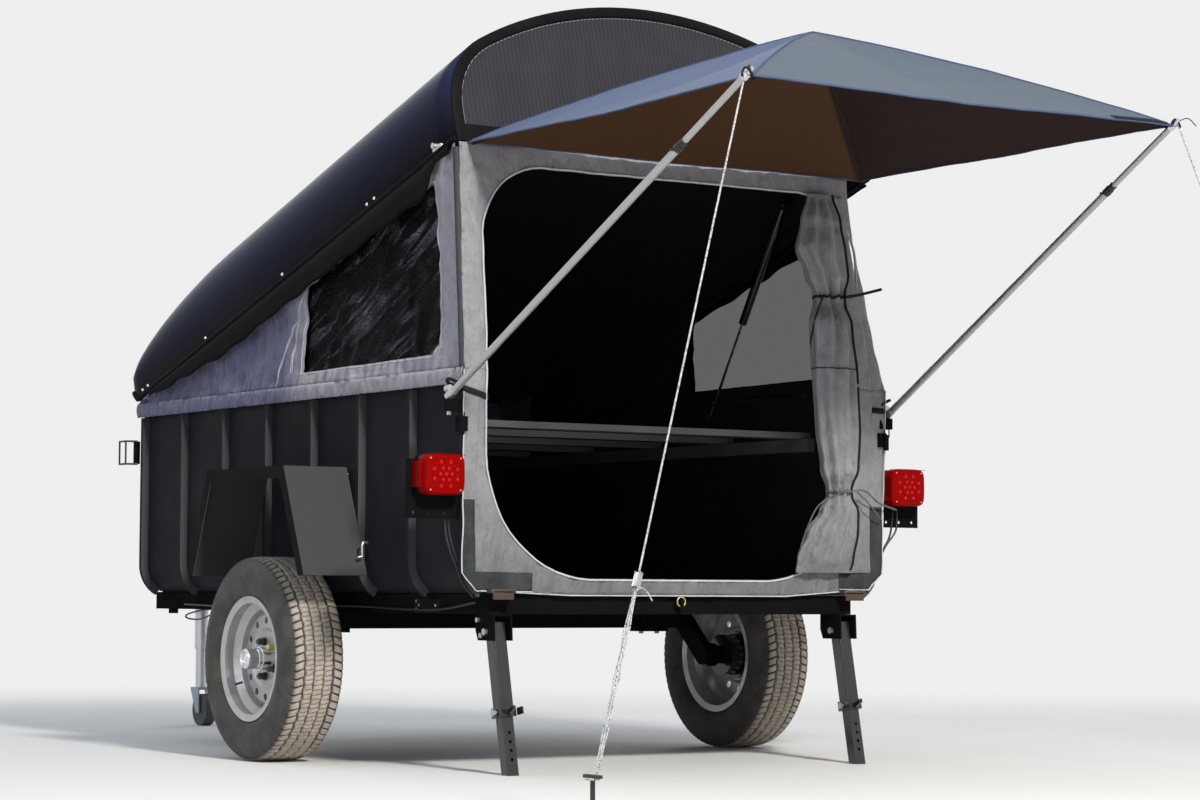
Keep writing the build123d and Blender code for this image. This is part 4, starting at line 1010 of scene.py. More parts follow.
# For each tie its paint and its loose ends: radius, and points as x, y and height over the tie
TIE_ENDS = (
    ("tie", (
        (0.003, ((-1.01, -0.6, 0), (-1.02, -0.66, 0.005), (-0.99, -0.74, -0.03), (-0.985, -0.816, -0.052))),
        (0.0025, ((-1.01, -0.64, 0), (-1.005, -0.69, -0.035), (-0.98, -0.759, -0.085))),
        (0.0025, ((-1.01, -0.6, 0), (-1.0, -0.56, -0.01), (-0.985, -0.5, -0.05), (-0.98, -0.45, -0.15),
                  (-0.975, -0.43, -0.23))),
    )),
    ("strap", (
        (0.005, ((-1.0, -0.6, 0), (-1.0, -0.66, 0.012), (-0.995, -0.748, 0.034))),
        (0.003, ((-0.99, -0.52, 0), (-0.995, -0.49, -0.06), (-0.975, -0.485, -0.13), (-0.965, -0.492, -0.17))),
    )),
)


def roll_size(z):
    """Left edge, right edge and half depth of the rolled flap at a height."""
    for low, high in zip(FLAP, FLAP[1:]):
        if z <= high[0]:
            t = smooth(low[0], high[0], z)
            return tuple(a + (b - a) * t for a, b in zip(low[1:], high[1:]))
    return FLAP[-1][1:]


def roll_ring(z, sides):
    """The rolled flap's pleated outline at a height."""
    left, right, deep = roll_size(z)
    middle, half = (left + right) / 2, (left - right) / 2
    pleat = 0.26 + 0.4 * exp(-min(abs(z - tie) for tie in TIES) / 0.1)
    phase = 1.6 * ripple(z * 4, 7.0, 0)
    ring = []
    for t in circle(sides):
        fold = pleat * sin(8 * t + phase) * (0.4 + 0.6 * abs(sin(1.5 * t + 4 * z)))
        fold += 0.14 * ripple(cos(t) * 2.4, sin(t) * 2.4, z * 7)
        x = rear_x(z) - deep - 0.004 - deep * sin(t) * (1 + fold)
        ring.append(Vector((min(x, rear_x(z) - 0.003), middle + half * cos(t) * (1 + 0.16 * fold), z)))
    return ring


def build_door_roll():
    """The rolled flap with its flat edge, seam, hem and ties, split at the rim."""
    for half, body, low, high in (("lower", "trailer", FLAP[0][0], RIM_TOP), ("upper", "tent", RIM_TOP, FLAP[-1][0])):
        heights = steps(low, high, 0.012)
        points = [p for z in heights for p in roll_ring(z, ROLL_SIDES)]
        mesh = outward(mesh_of("flap", points, closed_grid(len(heights), ROLL_SIDES), sharp=70))
        obj = piece("rolled_flap_" + half, mesh, "cloth", body)
        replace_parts(obj, "door_roll_" + half)

        outline = [(roll_size(z)[1] + 0.02, z) for z in steps(low, high, 0.1)]
        if half == "lower":
            outline += [(-0.735, high), (-0.725, low)]
        else:
            outline += [(-0.655, high), (-0.67, 1.62), (-0.695, 1.48), (-0.72, 1.3), (-0.735, low)]
        mesh, area = cloth_mesh(outline, [], 0.012, rear_place(0.007), 0.0016, REARWARD)
        edge = piece("flap_side_" + half, mesh, "cloth cloth_inner", body)
        seam = [roll_ring(z, ROLL_SIDES)[SEAM_COLUMN] + Vector((-0.001, -0.003, 0))
                for z in steps(low + 0.01, high, 0.02)]
        piece(f"flap_side_{half}_seam", tube(seam, 0.0042, 6), "strap", body)
        size = (extent(outline)[0], high - low)
        min(area, size[0] * size[1])
    ring = [p - Vector((0.0006, 0, 0)) for p in roll_ring(FLAP_HEM, ROLL_SIDES)]
    piece("flap_hem", tube(ring, 0.0018, 6, closed=True), "strap", "tent")
    for k, (tie, (paint, ends)) in enumerate(zip(TIES, TIE_ENDS)):
        ring = [p + Vector((-0.003, 0, 0.004 * sin(3 * j))) for j, p in enumerate(roll_ring(tie, TIE_SIDES))]
        shapes = [tube(ring, 0.0045, closed=True)]
        for radius, run in ends:
            shapes.append(tube(smooth_path([(x, y, tie + rise) for x, y, rise in run]), radius, 6))
        piece(f"flap_tie_{k + 1}", joined(shapes), paint, "tent" if k else "trailer")


# Awning

def awning_height(x, y):
    """Height of the canopy: straight hips, panels that sag a little, eaves that hang between the corners."""
    fx, fy = abs(x - AWNING_MID) / AWNING_REACH, abs(y) / AWNING_HALF
    t, other = max(fx, fy), min(fx, fy)
    across = 1 - (other / t if t > 1e-6 else 1)
    crown = 0.066 * t * (1 - t)
    sag = 0.03 * across * sin(pi * min(1.0, t)) + 0.012 * across * t**3
    waves = 0.0025 * ripple(x * 7, y * 7, 1) + 0.0012 * ripple(x * 19, y * 19, 5)
    return EAVE_Z + (PEAK_Z - EAVE_Z) * (1 - t) + crown - sag + waves


def awning_point(u, v, lift=0.0):
    """The canopy's point for u, v in -1..1, with eaves that curve in between the corners."""
    x = AWNING_MID + AWNING_REACH * u * (1 - 0.022 * (1 - v * v) * abs(u) ** 3)
    y = AWNING_HALF * v * (1 - 0.022 * (1 - u * u) * abs(v) ** 3)
    return Vector((x, y, awning_height(x, y) + lift))


def build_canopy():
    """The canopy's skin: slate, with a painted sky reflection in blue on the front and left panels; brown below, with
    painted shade on the right panel's underside.
    """
    count = 96
    row = count + 1
    points = [awning_point(2 * i / count - 1, 2 * j / count - 1, lift)
              for lift in (0.0, -0.0022) for i in range(row) for j in range(row)]
    size, top = row**2, grid_faces(row, row)
    edge = [i * row for i in range(row)] + [count * row + j for j in range(1, row)]
    edge += [i * row + count for i in range(count - 1, -1, -1)] + list(range(count - 1, 0, -1))
    faces = top + [tuple(size + k for k in face[::-1]) for face in top]
    faces += [(a, b, size + b, size + a) for a, b in zip(edge, edge[1:] + edge[:1])]
    mesh = mesh_of("canopy", points, faces, sharp=70)
    for face in mesh.polygons:
        fx, fy = (face.center.x - AWNING_MID) / AWNING_REACH, face.center.y / AWNING_HALF
        # Painted shade below the right panel, painted sky reflection on top of the front and left panels
        if len(top) <= face.index < 2 * len(top):
            face.material_index = 2 if -fy > abs(fx) else 1
        else:
            face.material_index = 3 if fy > abs(fx) or fx > abs(fy) else 0
    if mesh.polygons[0].normal.z < 0:
        mesh.flip_normals()
    obj = piece("canopy", mesh, "awning_top awning_under awning_dark awning_side", "awning")
    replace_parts(obj, "awning_cloth")


def build_awning():
    build_canopy()
    rim = []
    for k in range(160):
        side, share = divmod(k, 40)
        run = 2 * share / 40 - 1
        rim.append(awning_point(*((run, -1), (1, run), (-run, 1), (-1, -run))[side], -0.002))
    piece("canopy_binding", tube(rim, 0.0024, closed=True), "awning_side", "awning")
    patch = [awning_point(u, -0.985 + 0.27 * k / 8, 0.0022) for k in range(9) for u in (-1.0, -0.966)]
    mesh = facing(mesh_of("eave_patch", patch, grid_faces(9, 2)), Vector((-1, 0, 1)))
    piece("eave_patch", thickened(mesh, 0.0018), "strap", "awning")
    seams, bows = [], []
    for u, v in ((1, 1), (1, -1), (-1, 1), (-1, -1)):
        path = []
        for share in [0.985 * k / 24 for k in range(25)]:
            x, y = AWNING_MID + AWNING_REACH * u * share, AWNING_HALF * v * share
            path.append(Vector((x, y, awning_height(x, y))))
        seams.append(tube([p + Vector((0, 0, 0.0008)) for p in path], 0.0022, 6))
        bows.append(tube([p - Vector((0, 0, 0.0125)) for p in path], 0.0045))
    piece("canopy_seams", joined(seams), "awning_side", "awning")
    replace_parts(piece("canopy_bows", joined(bows), "strap", "awning"), "awning_bows")


# Tyres with their tread

# The tyre's wall from its seat out, as radius and distance from its middle, and the tread's grooves:
# distance from the middle, half width and the way they zigzag
HALF_TREAD, OUTER_RADIUS = 0.079, 0.319
TYRE_WALL = ((0.179, 0.073), (0.1965, 0.0795), (0.2045, 0.0885), (0.215, 0.093), (0.222, 0.0945), (0.2235, 0.0955),
             (0.228, 0.0965), (0.243, 0.098), (0.262, 0.098), (0.28, 0.0955), (0.294, 0.0905), (0.3, 0.0885),
             (0.3045, 0.0865), (0.309, 0.0835))
GROOVES = ((-0.049, 0.005, 1), (-0.017, 0.0042, -1), (0.017, 0.0042, 1), (0.049, 0.005, -1))


def tread_depth(r, y, turns):
    """How deep the tread is cut at each turn for one line of the section."""
    pitch = 2 * np.pi / 52

    def cuts(phase, top, width, deep):
        return deep * np.clip(top - np.abs(phase % 1 - 0.5) / width, 0, 1)

    deep = np.zeros(len(turns))
    if abs(y) <= HALF_TREAD:
        zig = 2 * np.abs(((turns / pitch) % 1) - 0.5) * 2 - 1
        for centre, wide, way in GROOVES:
            deep = np.maximum(deep, 0.008 * np.clip(1.6 - np.abs(y - centre - 0.0013 * way * zig) / wide * 1.4, 0, 1))
        if abs(y) > 0.053:
            phase = turns / (pitch / 1.5) + 0.35 * (abs(y) - 0.053) / 0.026
            return np.maximum(deep, cuts(phase, 1.7, 0.08, 0.007))
        phase = turns / (pitch / 2.5) + 0.5 * round(y / 0.033) + y * 12
        return np.maximum(deep, cuts(phase, 1.5, 0.1, 0.005))
    return cuts(turns / (pitch / 1.5) + 0.35, 1.7, 0.09, 0.003) if r > 0.296 else deep


def build_tyre(side, sign):
    around = 1080
    across = [(OUTER_RADIUS - 0.0055 * (abs(k) / 19) ** 4, HALF_TREAD * k / 19) for k in range(-19, 20)]
    profile = [(r, -y) for r, y in TYRE_WALL] + across + list(TYRE_WALL[::-1])
    turns = np.arange(around) * (2 * np.pi / around)
    radii = np.array([r - tread_depth(r, y, turns) for r, y in profile]).T
    xs = radii * np.sin(turns)[:, None]
    zs = radii * np.cos(turns)[:, None] + AXLE_Z
    ys = np.tile(np.array([y for _, y in profile]) * sign + sign * TRACK_HALF, (around, 1))
    points = np.stack([xs, ys, zs], axis=-1).reshape(-1, 3)
    points[:, 2] = np.maximum(points[:, 2], 0.0)
    mesh = mesh_of("tread", points.tolist(), grid_faces(around, len(profile), wrap_rows=True))
    if sign < 0:
        mesh.flip_normals()
    mesh.set_sharp_from_angle(angle=radians(50))
    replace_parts(piece("tread_" + side, mesh, "tyre", "wheel_" + side), "tyre_" + side)


def build_wheel_fittings(side, sign):
    """Lug nuts, one of them yellow, with the hub's ring and the valve."""
    face, out, wheel = sign * (TRACK_HALF + 0.016), (0, sign, 0), "wheel_" + side
    nuts = []
    for k in range(5):
        turn = 2 * pi * (k + 0.3) / 5
        x, z = 0.057 * sin(turn), AXLE_Z + 0.057 * cos(turn)
        nuts.append([((x, face + sign * y, z), out, *size) for y, size in (
            (0.003, (0.0135, 0.007, 24)), (0.015, (0.0105, 0.019, 6)), (0.027, (0.0098, 0.007, 18, 0.005)))])
    piece("lug_nuts_" + side, parts(discs=sum(nuts[:4], [])), "gloss", wheel)
    piece("lug_nut_odd_" + side, parts(discs=nuts[4]), "brass", wheel)
    rings = [((0, face + sign * y, AXLE_Z), out, *size)
             for y, size in ((0.014, (0.0345, 0.028, 36)), (0.03, (0.0372, 0.005, 36)))]
    piece("hub_ring_" + side, parts(discs=rings), "bright", wheel)
    path = [(r * sin(2.2), sign * (TRACK_HALF + y), AXLE_Z + r * cos(2.2))
            for r, y in ((0.1285, 0.05), (0.136, 0.062), (0.142, 0.073))]
    piece("valve_" + side, tube(path, 0.004, 10), "wire", wheel)


# Lamps with their elements

LAMP_X, LAMP_Y, LAMP_Z = -1.001, 0.855, 0.87
LAMP_HALF_WIDE, LAMP_HALF_HIGH, LENS_DEEP = 0.067, 0.0595, 0.046
ELEMENTS = [(0.0, 0.0), *((0.019 * cos(t * pi / 3), 0.019 * sin(t * pi / 3)) for t in range(6))]
ELEMENTS += [(0.041 * cos((t + 0.5) * pi / 4), 0.037 * sin((t + 0.5) * pi / 4)) for t in range(8)]


def lens_ring(share=1.0):
    """The lens's rounded outline, or one inside it."""
    return [(LAMP_HALF_WIDE * share * copysign(abs(cos(t)) ** (1 / 3), cos(t)),
             LAMP_HALF_HIGH * share * copysign(abs(sin(t)) ** (1 / 3), sin(t))) for t in circle(96)]


def lens_bulge(y, z):
    """How far the lens stands out at a place on its face."""
    return 0.004 * (1 - (y / LAMP_HALF_WIDE) ** 2) + 0.0035 * (1 - (z / LAMP_HALF_HIGH) ** 2)


def build_lamps():
    """Lenses with their side reflectors and vents, elements and screws."""
    shares = [0.06 * k for k in range(1, 14)] + [0.82, 0.86, 0.9, 0.93, 0.96, 0.98, 1.0]
    outer = LAMP_Y + LAMP_HALF_WIDE + 0.003
    for side, sign in SIDES:
        middle = Vector((LAMP_X, sign * LAMP_Y, LAMP_Z))
        points = []
        for share in shares:
            edge = 0.009 * (1 - sqrt(max(0.0, 1 - max(0.0, (share - 0.86) / 0.14) ** 2)))
            points += [middle + Vector((0.002 - lens_bulge(y, z) + edge, y, z)) for y, z in lens_ring(share)]
        for depth in (0.02, 0.034, LENS_DEEP):
            points += [middle + Vector((depth, y, z)) for y, z in lens_ring()]
        lens = outward(mesh_of("lens", points, closed_grid(len(shares) + 3, 96), sharp=50))
        work = bmesh.new()
        work.from_mesh(lens)
        bpy.data.meshes.remove(lens)
        block(work, (LAMP_X + 0.044, sign * outer, LAMP_Z), (0.048, 0.01, 0.076), 0.002)
        for k in range(9):
            block(work, (LAMP_X + 0.044, sign * (outer + 0.005), LAMP_Z - 0.032 + 0.008 * k), (0.044, 0.002, 0.0035))
        for k in range(12):
            y = LAMP_Y + LAMP_HALF_WIDE * (0.18 * (k - 5.5))
            block(work, (LAMP_X + 0.006, sign * y, LAMP_Z + LAMP_HALF_HIGH - 0.003), (0.008, 0.0016, 0.002))
        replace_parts(piece("lamp_lens_" + side, work, "lens", sharp=50), "rear_lamps")
        work = bmesh.new()
        for y, z in ELEMENTS:
            centre = middle + Vector((0.0042 - lens_bulge(y, z), y, z))
            made = bmesh.ops.create_uvsphere(work, u_segments=16, v_segments=10, radius=0.0062)
            for v in made["verts"]:
                v.co = Vector((v.co.x * 0.75, v.co.y, v.co.z)) + centre
        piece("lamp_elements_" + side, work, "led")
        screws = [(middle + Vector((0.001, y, z)), (1, 0, 0), 0.0024, 0.005, 12)
                  for z in (0.046, -0.046) for y in (-0.05, 0.05)]
        piece("lamp_screws_" + side, parts(discs=screws), "zinc")


# Cables, latches, hooks, tabs, straps and bolts

CABLES = {
    "left": (
        [(-0.925, 0.815, 0.82), (-0.91, 0.802, 0.75), (-0.912, 0.8, 0.7), (-0.92, 0.79, 0.65), (-0.92, 0.768, 0.605),
         (-0.912, 0.745, 0.56), (-0.9, 0.7, 0.515)],
        [(-0.925, 0.803, 0.82), (-0.91, 0.79, 0.75), (-0.912, 0.788, 0.7), (-0.92, 0.777, 0.65),
         (-0.922, 0.757, 0.607), (-0.914, 0.735, 0.56), (-0.9, 0.69, 0.515)],
    ),
    "right": (
        [(-0.93, -0.862, 0.8), (-0.935, -0.855, 0.735), (-0.93, -0.815, 0.68), (-0.925, -0.785, 0.62),
         (-0.92, -0.76, 0.555), (-0.9, -0.7, 0.515)],
        [(-0.93, -0.845, 0.8), (-0.93, -0.835, 0.72), (-0.925, -0.8, 0.655), (-0.915, -0.782, 0.6)],
    ),
}
LONG_CABLE = [(-0.9, 0.69, 0.5), (-0.6, 0.676, 0.476), (-0.1, 0.674, 0.485), (0.5, 0.675, 0.474), (1.1, 0.674, 0.483)]
FRONT_LOOP = [(0.9, 0.66, 0.468), (1.0, 0.665, 0.461), (1.09, 0.665, 0.449), (1.12, 0.66, 0.438),
              (1.08, 0.655, 0.431), (1.0, 0.655, 0.434), (0.86, 0.655, 0.462)]
SIDE_HOOK = [(-0.388, 0.772, 0.68), (-0.392, 0.79, 0.678), (-0.392, 0.792, 0.65), (-0.39, 0.79, 0.638),
             (-0.388, 0.805, 0.634)]
LATCH_WIRES = ([(1.296, 0.772, 0.975), (1.305, 0.812, 0.975), (1.36, 0.812, 0.975)],
               [(1.296, 0.772, 1.055), (1.305, 0.812, 1.055), (1.36, 0.812, 1.055)],
               [(1.36, 0.812, 0.972), (1.36, 0.812, 1.058)], [(1.308, 0.812, 0.972), (1.308, 0.812, 1.058)])
# The strap on each door pillar, as y, z, and the one round each pole
PILLAR_STRAPS = {
    "left": [(0.775, 1.125), (0.76, 1.121), (0.735, 1.114), (0.71, 1.107), (0.688, 1.101)],
    "right": [(-0.787, 1.112), (-0.765, 1.113), (-0.735, 1.115)],
}
POLE_STRAP = [(-0.952, 0.772, 1.126), (-0.958, 0.79, 1.14), (-0.95, 0.818, 1.15), (-0.93, 0.808, 1.14),
              (-0.936, 0.78, 1.128)]
TUB_RIVETS = ((-0.915, 0.72), (-0.915, 1.1), (-0.6, 0.63), (0.05, 0.63), (0.57, 0.63), (1.28, 0.66), (1.28, 1.1),
              (-0.21, 0.895), (-0.12, 0.895), (0.07, 0.895), (0.15, 0.895), (0.23, 0.895))
LEG, LEG_LEAN = Vector((-0.925, 0.637, 0.415)), radians(12)


def build_cables():
    for side, sign in SIDES:
        shapes = [tube(smooth_path(run), 0.0032) for run in CABLES[side]]
        shapes.append(tube(smooth_path(mirrored(LONG_CABLE, sign)), 0.004))
        piece("lamp_cables_" + side, joined(shapes), "wire")


def build_latches():
    """Toggle latches at the rear corners, and the wire latches on the front wall."""
    for side, sign in SIDES:
        boxes = [((-0.957, sign * (TUB_HALF + 0.011), 1.02), (0.024, 0.03, 0.044), 0.002),
                 ((-0.972, sign * (TUB_HALF + 0.02), 1.012), (0.01, 0.016, 0.05), 0.003)]
        rods = [((-0.965, sign * (TUB_HALF + 0.026), 1.032), (1, 0, 0), 0.004, 0.026, 12)]
        rods += [((-0.974, sign * (TUB_HALF + y), 1.042), UP, 0.002, 0.024, 8) for y in (0.012, 0.03)]
        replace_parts(piece("toggle_latch_" + side, parts(boxes, rods), "steel"), "latches")
        wires = [tube(mirrored(run, sign), 0.0035) for run in LATCH_WIRES]
        piece("front_latch_wire_" + side, joined(wires), "wire")
        plate = parts([((1.303, sign * 0.772, 1.015), (0.01, 0.022, 0.08), 0.002)],
                      [((1.31, sign * 0.772, 1.015), (1, 0, 0), 0.007, 0.01, 12)])
        piece("front_latch_plate_" + side, plate, "steel")


def build_pole_fittings():
    """Foot, collar, tip and straps of each awning pole."""
    for side, sign in SIDES:
        low = Vector((-0.945, sign * 0.812, 1.101))
        high = Vector((AWNING_REAR + 0.004, sign * (AWNING_HALF + 0.009), EAVE_Z + 0.006))
        along = (high - low).normalized()
        clamp = Vector((low.x + 0.012, sign * 0.806, 1.096))
        work = parts(discs=[(low + along * 0.012, along, 0.0125, 0.036, 24)])
        block(work, clamp, (0.014, 0.016, 0.05), 0.003)
        for dz, wide in ((0.026, 0.012), (0.006, 0.0095), (-0.012, 0.0095)):
            disc(work, clamp + Vector((-0.004, sign * 0.004, dz)), (1, 0, 0), wide, 0.016, 16)
        block(work, clamp + Vector((0.0, 0, -0.036)), (0.009, 0.01, 0.03), 0.002)
        piece("pole_foot_" + side, work, "zinc")
        joint = low + (high - low) * 0.79
        collar = [(joint, along, 0.0128, 0.022, 24), (joint + along * 0.02, along, 0.0112, 0.02, 24),
                  (joint - along * 0.014, along.cross(UP), 0.004, 0.036, 12)]
        piece("pole_collar_" + side, parts(discs=collar), "wire")
        tip = [(high - along * 0.012, along, 0.0118, 0.02, 24), (high + along * 0.008, along, 0.0085, 0.02, 20, 0.005)]
        piece("pole_tip_" + side, parts(discs=tip), "bright")
        knot = [high + Vector((-0.012 * cos(t), sign * 0.004 + 0.014 * sin(t), 0.01 * sin(2 * t))) for t in circle(24)]
        tail = [high, high + Vector((-0.03, sign * 0.02, 0.012)), high + Vector((-0.055, sign * 0.03, -0.012))]
        shapes = [tube(knot, 0.003, closed=True), tube(smooth_path(tail), 0.0015, 6)]
        piece("tip_loop_" + side, joined(shapes), "strap")
        place, run = rear_place(0.0045), PILLAR_STRAPS[side]
        points = [place(y, z + dz) for y, z in run for dz in (0.009, -0.009)]
        faces = [(k, k + 1, k + 3, k + 2) for k in range(0, len(points) - 2, 2)]
        strap = thickened(mesh_of("pillar_strap", points, faces), 0.002, 0.0)
        piece("pillar_strap_" + side, strap, "strap")
        piece("pole_strap_" + side, tube(smooth_path(mirrored(POLE_STRAP, sign)), 0.005), "strap")


def build_guys():
    """Tensioner and doubled rope above each peg."""
    for side, sign in SIDES:
        top = Vector((AWNING_REAR + 0.002, sign * (AWNING_HALF + 0.0202), EAVE_Z + 0.004))
        peg = Vector((-2.5947, sign * 1.377, 0.094))
        run = peg - top
        along = run.normalized()
        aside = along.cross(UP).normalized()
        shapes = []
        for shift in (-0.006, 0.006):
            path = [top + run * (0.735 + 0.265 * k / 12) + aside * shift * sin(pi * min(1.0, (k + 1) / 4) / 2)
                    + aside * 0.0015 * sin(k * 2.1 + shift * 300) for k in range(13)]
            shapes.append(tube(path, 0.0017))
        tail = [top + run * 0.744 + Vector(d) for d in ((0, 0, 0), (-0.012, -0.02, -0.008), (-0.02, -0.034, -0.034))]
        shapes.append(tube(smooth_path(tail, 4), 0.0015, 6))
        knot = [top + run * 0.745 + aside * 0.006 * cos(t) + along * 0.008 * sin(t)
                + Vector((0.004 * sin(2 * t), 0, 0)) for t in circle(20)]
        shapes.append(tube(knot, 0.002, closed=True))
        loop = [peg + Vector((0.016 * cos(t), 0.016 * sin(t), 0.004)) + Vector((-0.003, sign * 0.008, 0))
                for t in circle(24)]
        shapes.append(tube(loop, 0.0028, closed=True))
        piece("guy_double_" + side, joined(shapes), "rope")
        bar = (top + run * 0.735, (0.013, 0.011, 0.036), 0.003, along.to_track_quat("Z", "Y").to_matrix())
        piece("guy_tensioner_" + side, parts([bar]), "zinc")


def half_moon(sign):
    """Plate that closes the tub's lower front corner, where the wall is cut straight."""
    turns = [pi / 24 * k for k in range(13)]
    points = [(x, sign * (CHINE_Y + CHINE_RADIUS * cos(t)), CHINE_Z - CHINE_RADIUS * sin(t))
              for x in FRONT_WALL for t in turns]
    faces = [tuple(range(13)), tuple(range(25, 12, -1))]
    faces += [(k, (k + 1) % 13, 13 + (k + 1) % 13, 13 + k) for k in range(13)]
    return outward(mesh_of("half_moon", points, faces, 35))


def build_body_fittings():
    """Hem tabs, rivets, hooks, rail plates, bolts, arm caps, cable loops, rail stops and corner plates."""
    for side, sign in SIDES:
        out = (0, sign, 0)
        tab = parts([((-0.972, sign * 0.648, 0.534), (0.034, 0.085, 0.012), 0.002),
                     ((-0.986, sign * 0.648, 0.522), (0.006, 0.07, 0.026), 0.002)])
        piece("hem_tab_" + side, tab, "tab")
        rivets = [((x, sign * (SKIN_HALF + 0.0015), z), out, 0.005, 0.004, 12, 0.003) for x, z in TUB_RIVETS]
        piece("tub_rivets_" + side, parts(discs=rivets), "zinc")
        hook = tube(smooth_path(mirrored(SIDE_HOOK, sign), 4), 0.0045, 10)
        piece("side_hook_" + side, hook, "zinc")
        plate = parts([((-0.583, sign * 0.672, 0.489), (0.138, 0.004, 0.043), 0.001)])
        piece("rail_plates_" + side, plate, "fender")
        bolts = [((x, sign * 0.675, z), (0, 1, 0), 0.0045, 0.003, 12)
                 for x, z in ((-0.524, 0.502), (-0.524, 0.478), (-0.54, 0.49), (-0.64, 0.49))]
        bolts += [((AXLE_X, sign * y, 0.3945), UP, 0.009, 0.008, 6) for y in (0.59, 0.655)]
        bolts += [((x, sign * 0.673, z), (0, 1, 0), 0.008, 0.012, 6) for x, z in ((-0.905, 0.404), (-0.885, 0.449))]
        piece("chassis_bolts_" + side, parts(discs=bolts), "zinc")
        caps = [((AXLE_X, sign * (ARM_OUTER + 0.003), TUBE_Z), out, 0.021, 0.006, 28, 0.018),
                ((AXLE_X, sign * (ARM_OUTER + 0.007), TUBE_Z), out, 0.009, 0.008, 6),
                ((0, sign * (ARM_OUTER + 0.01), AXLE_Z), out, 0.04, 0.02, 36)]
        piece("arm_caps_" + side, parts(discs=caps), "steel")
        piece("front_loop_" + side, tube(smooth_path(mirrored(FRONT_LOOP, sign)), 0.003), "wire")
        stop = parts([((1.232, sign * 0.655, 0.458), (0.034, 0.022, 0.016), 0.002),
                      ((0.8, sign * 0.65, 0.5255), (0.99, 0.037, 0.007))])
        piece("rail_stop_" + side, stop, "rail")
        piece("front_corner_" + side, half_moon(sign), "tub")
    eye = [(-0.962, 0.0145 * cos(t), 0.504 + 0.0145 * sin(t)) for t in circle(32)]
    piece("beam_eye_ring", tube(eye, 0.0026, closed=True), "brass")


def build_leg_fittings():
    """Bolts and clamp fin on each leg's outer tube."""
    down = Vector((-sin(LEG_LEAN), 0, -cos(LEG_LEAN)))
    turn = (-UP).rotation_difference(down).to_matrix()
    for side, sign in SIDES:
        pivot = Vector((LEG.x, sign * LEG.y, LEG.z))
        grip = pivot + down * (LEG.z / cos(LEG_LEAN) - 0.185)
        across = (0, 1, 0)
        bolts = [(pivot + Vector((0, dy, 0)), across, 0.0105, 0.01, 6) for dy in (-0.0375, 0.0375)]
        bolts += [(grip, across, 0.0065, 0.076, 12), (grip + Vector((0, 0.036, 0)), across, 0.011, 0.008, 6)]
        piece("leg_bolts_" + side, parts(discs=bolts), "zinc", "leg_" + side)
        fin = (grip + Vector((-0.036, -0.034 * sign, 0.006)), (0.03, 0.006, 0.022), 0.002, turn)
        piece("leg_fin_" + side, parts([fin]), "gloss", "leg_" + side)


# Camera, light and floor

CAMERA = Vector((-8.561, 5.274, 0.536))
YAW, PITCH, ROLL = radians(-33.213), radians(3.599), radians(0.289)
FOCAL_PIXELS, FRAME_PIXELS, SENSOR = 3035.0, 1200.0, 36.0
PALE = (0.86, 0.86, 0.86)
SUN_HEIGHT, SUN_SIDE, SUN_FAR = radians(32), radians(10), 10.0
FLOOR_NEAR, FLOOR_FAR, FLOOR_HALF = 2.6, 7.5, 60


def set_camera():
    """The view: its place, its turn and its focal length."""
    ahead = Vector((cos(YAW) * cos(PITCH), sin(YAW) * cos(PITCH), sin(PITCH)))
    right = ahead.cross(UP).normalized()
    up = right.cross(ahead)
    level_right = right * cos(ROLL) + up * sin(ROLL)
    level_up = up * cos(ROLL) - right * sin(ROLL)
    camera = bpy.data.cameras.new("camera")
    camera.sensor_width = SENSOR
    camera.sensor_fit = "HORIZONTAL"
    camera.lens = SENSOR * FOCAL_PIXELS / FRAME_PIXELS
    camera.clip_end = 200
    obj = bpy.data.objects.new("camera", camera)
    bpy.context.scene.collection.objects.link(obj)
    matrix = obj.matrix_world.copy()
    for i in range(3):
        matrix[i] = (level_right[i], level_up[i], -ahead[i], CAMERA[i])
    obj.matrix_world = matrix
    bpy.context.scene.camera = obj


def area_light(name, place, target, size, power, tint=(1, 1, 1)):
    light = bpy.data.lights.new(name, "AREA")
    light.shape = "RECTANGLE"
    light.size, light.size_y = size
    light.energy = power
    light.color = tint
    obj = bpy.data.objects.new(name, light)
    obj.location = place
    obj.rotation_euler = (Vector(target) - Vector(place)).to_track_quat("-Z", "Y").to_euler()
    bpy.context.scene.collection.objects.link(obj)


def show_pale(tree, lit, colour, faded=None):
    """Mixes a lit shader with a plain pale one that the camera, mirrors and glass see."""
    def both(kind, first, second):
        made = tree.nodes.new("ShaderNodeMath")
        made.operation = kind
        tree.links.new(first, made.inputs[0])
        tree.links.new(second, made.inputs[1])
        return made.outputs[0]

    path = tree.nodes.new("ShaderNodeLightPath")
    seen = path.outputs["Is Camera Ray"]
    for ray in ("Is Glossy Ray", "Is Transmission Ray"):
        seen = both("MAXIMUM", seen, path.outputs[ray])
    if faded:
        seen = both("MULTIPLY", seen, faded)
    mix = tree.nodes.new("ShaderNodeMixShader")
    pale = tree.nodes.new("ShaderNodeEmission" if faded else "ShaderNodeBackground")
    pale.inputs["Color"].default_value = (*colour, 1)
    for slot, output in enumerate((seen, lit, pale.outputs[0])):
        tree.links.new(output, mix.inputs[slot])
    return mix.outputs[0]


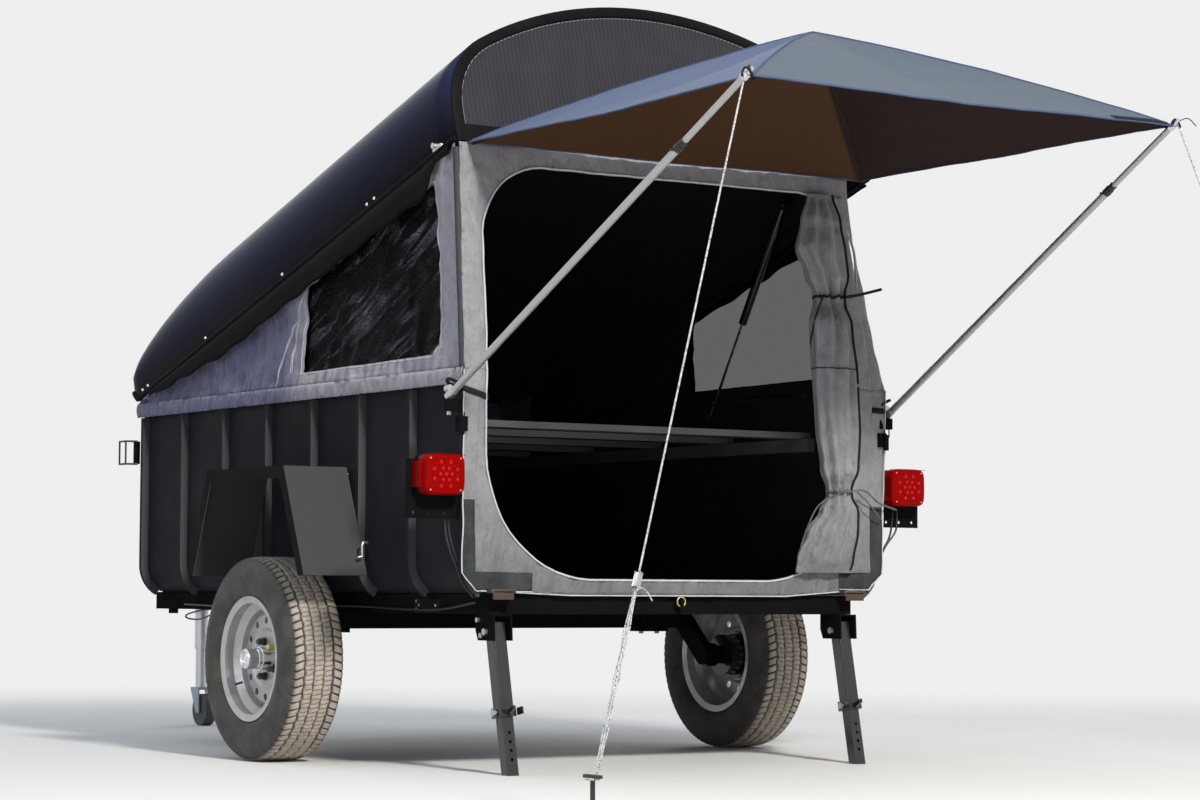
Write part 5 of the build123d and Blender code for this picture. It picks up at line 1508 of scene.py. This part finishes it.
def set_stage():
    scene = bpy.context.scene
    scene.view_settings.view_transform = "Standard"
    world = bpy.data.worlds.new("studio")
    scene.world = world
    world.use_nodes = True
    tree = world.node_tree
    lit = tree.nodes["Background"]
    lit.inputs["Color"].default_value = (0.84, 0.9, 1.0, 1)
    lit.inputs["Strength"].default_value = 0.3
    tree.links.new(show_pale(tree, lit.outputs[0], PALE), tree.nodes["World Output"].inputs["Surface"])
    middle = Vector((-1.0, 0, 1.0))
    ahead, aside = cos(SUN_HEIGHT) * cos(SUN_SIDE), cos(SUN_HEIGHT) * sin(SUN_SIDE)
    sun = middle + SUN_FAR * Vector((-ahead, aside, sin(SUN_HEIGHT)))
    area_light("key", sun, middle, (1.1, 1.1), 1150, (1.0, 0.97, 0.92))
    area_light("fill", (-2.0, 9.0, 4.2), (0, 0, 0.9), (5.0, 3.0), 120, (0.8, 0.88, 1.0))
    area_light("top", (1.0, 1.5, 7.5), (0, 0, 1.2), (5.0, 5.0), 130, (0.82, 0.9, 1.0))
    area_light("front", (6.0, -6.0, 3.4), (0, 0, 0.9), (4.0, 3.0), 120)
    corners = [(x * FLOOR_HALF, y * FLOOR_HALF, 0) for x, y in ((-1, -1), (1, -1), (1, 1), (-1, 1))]
    floor = bpy.data.objects.new("floor", mesh_of("floor", corners, [(0, 1, 2, 3)]))
    scene.collection.objects.link(floor)
    ground = Paint("floor_pale", (0.8, 0.79, 0.77), 0.9)
    ground.roughness(ground.noise(2, 3), 0.8, 0.95)
    squares = [ground.math("POWER", ground.axis(name), 2.0) for name in ("X", "Y")]
    away = ground.math("SQRT", ground.math("ADD", *squares))
    faded = ground.span(away, FLOOR_NEAR, FLOOR_FAR, interpolation_type="SMOOTHSTEP")
    shown = show_pale(ground.tree, ground.shader.outputs[0], PALE, faded)
    ground.link(shown, ground.tree.nodes["Material Output"].inputs["Surface"])
    floor.data.materials.append(ground.material)


for build in (build_lid, build_end_panel, build_valance, build_side_cloths, build_hems, build_front_strip,
              build_rear_wall, build_door_roll, build_awning, build_lamps, build_cables, build_latches,
              build_pole_fittings, build_guys, build_body_fittings, build_leg_fittings):
    build()
for side, sign in SIDES:
    build_tyre(side, sign)
    build_wheel_fittings(side, sign)
set_camera()
set_stage()
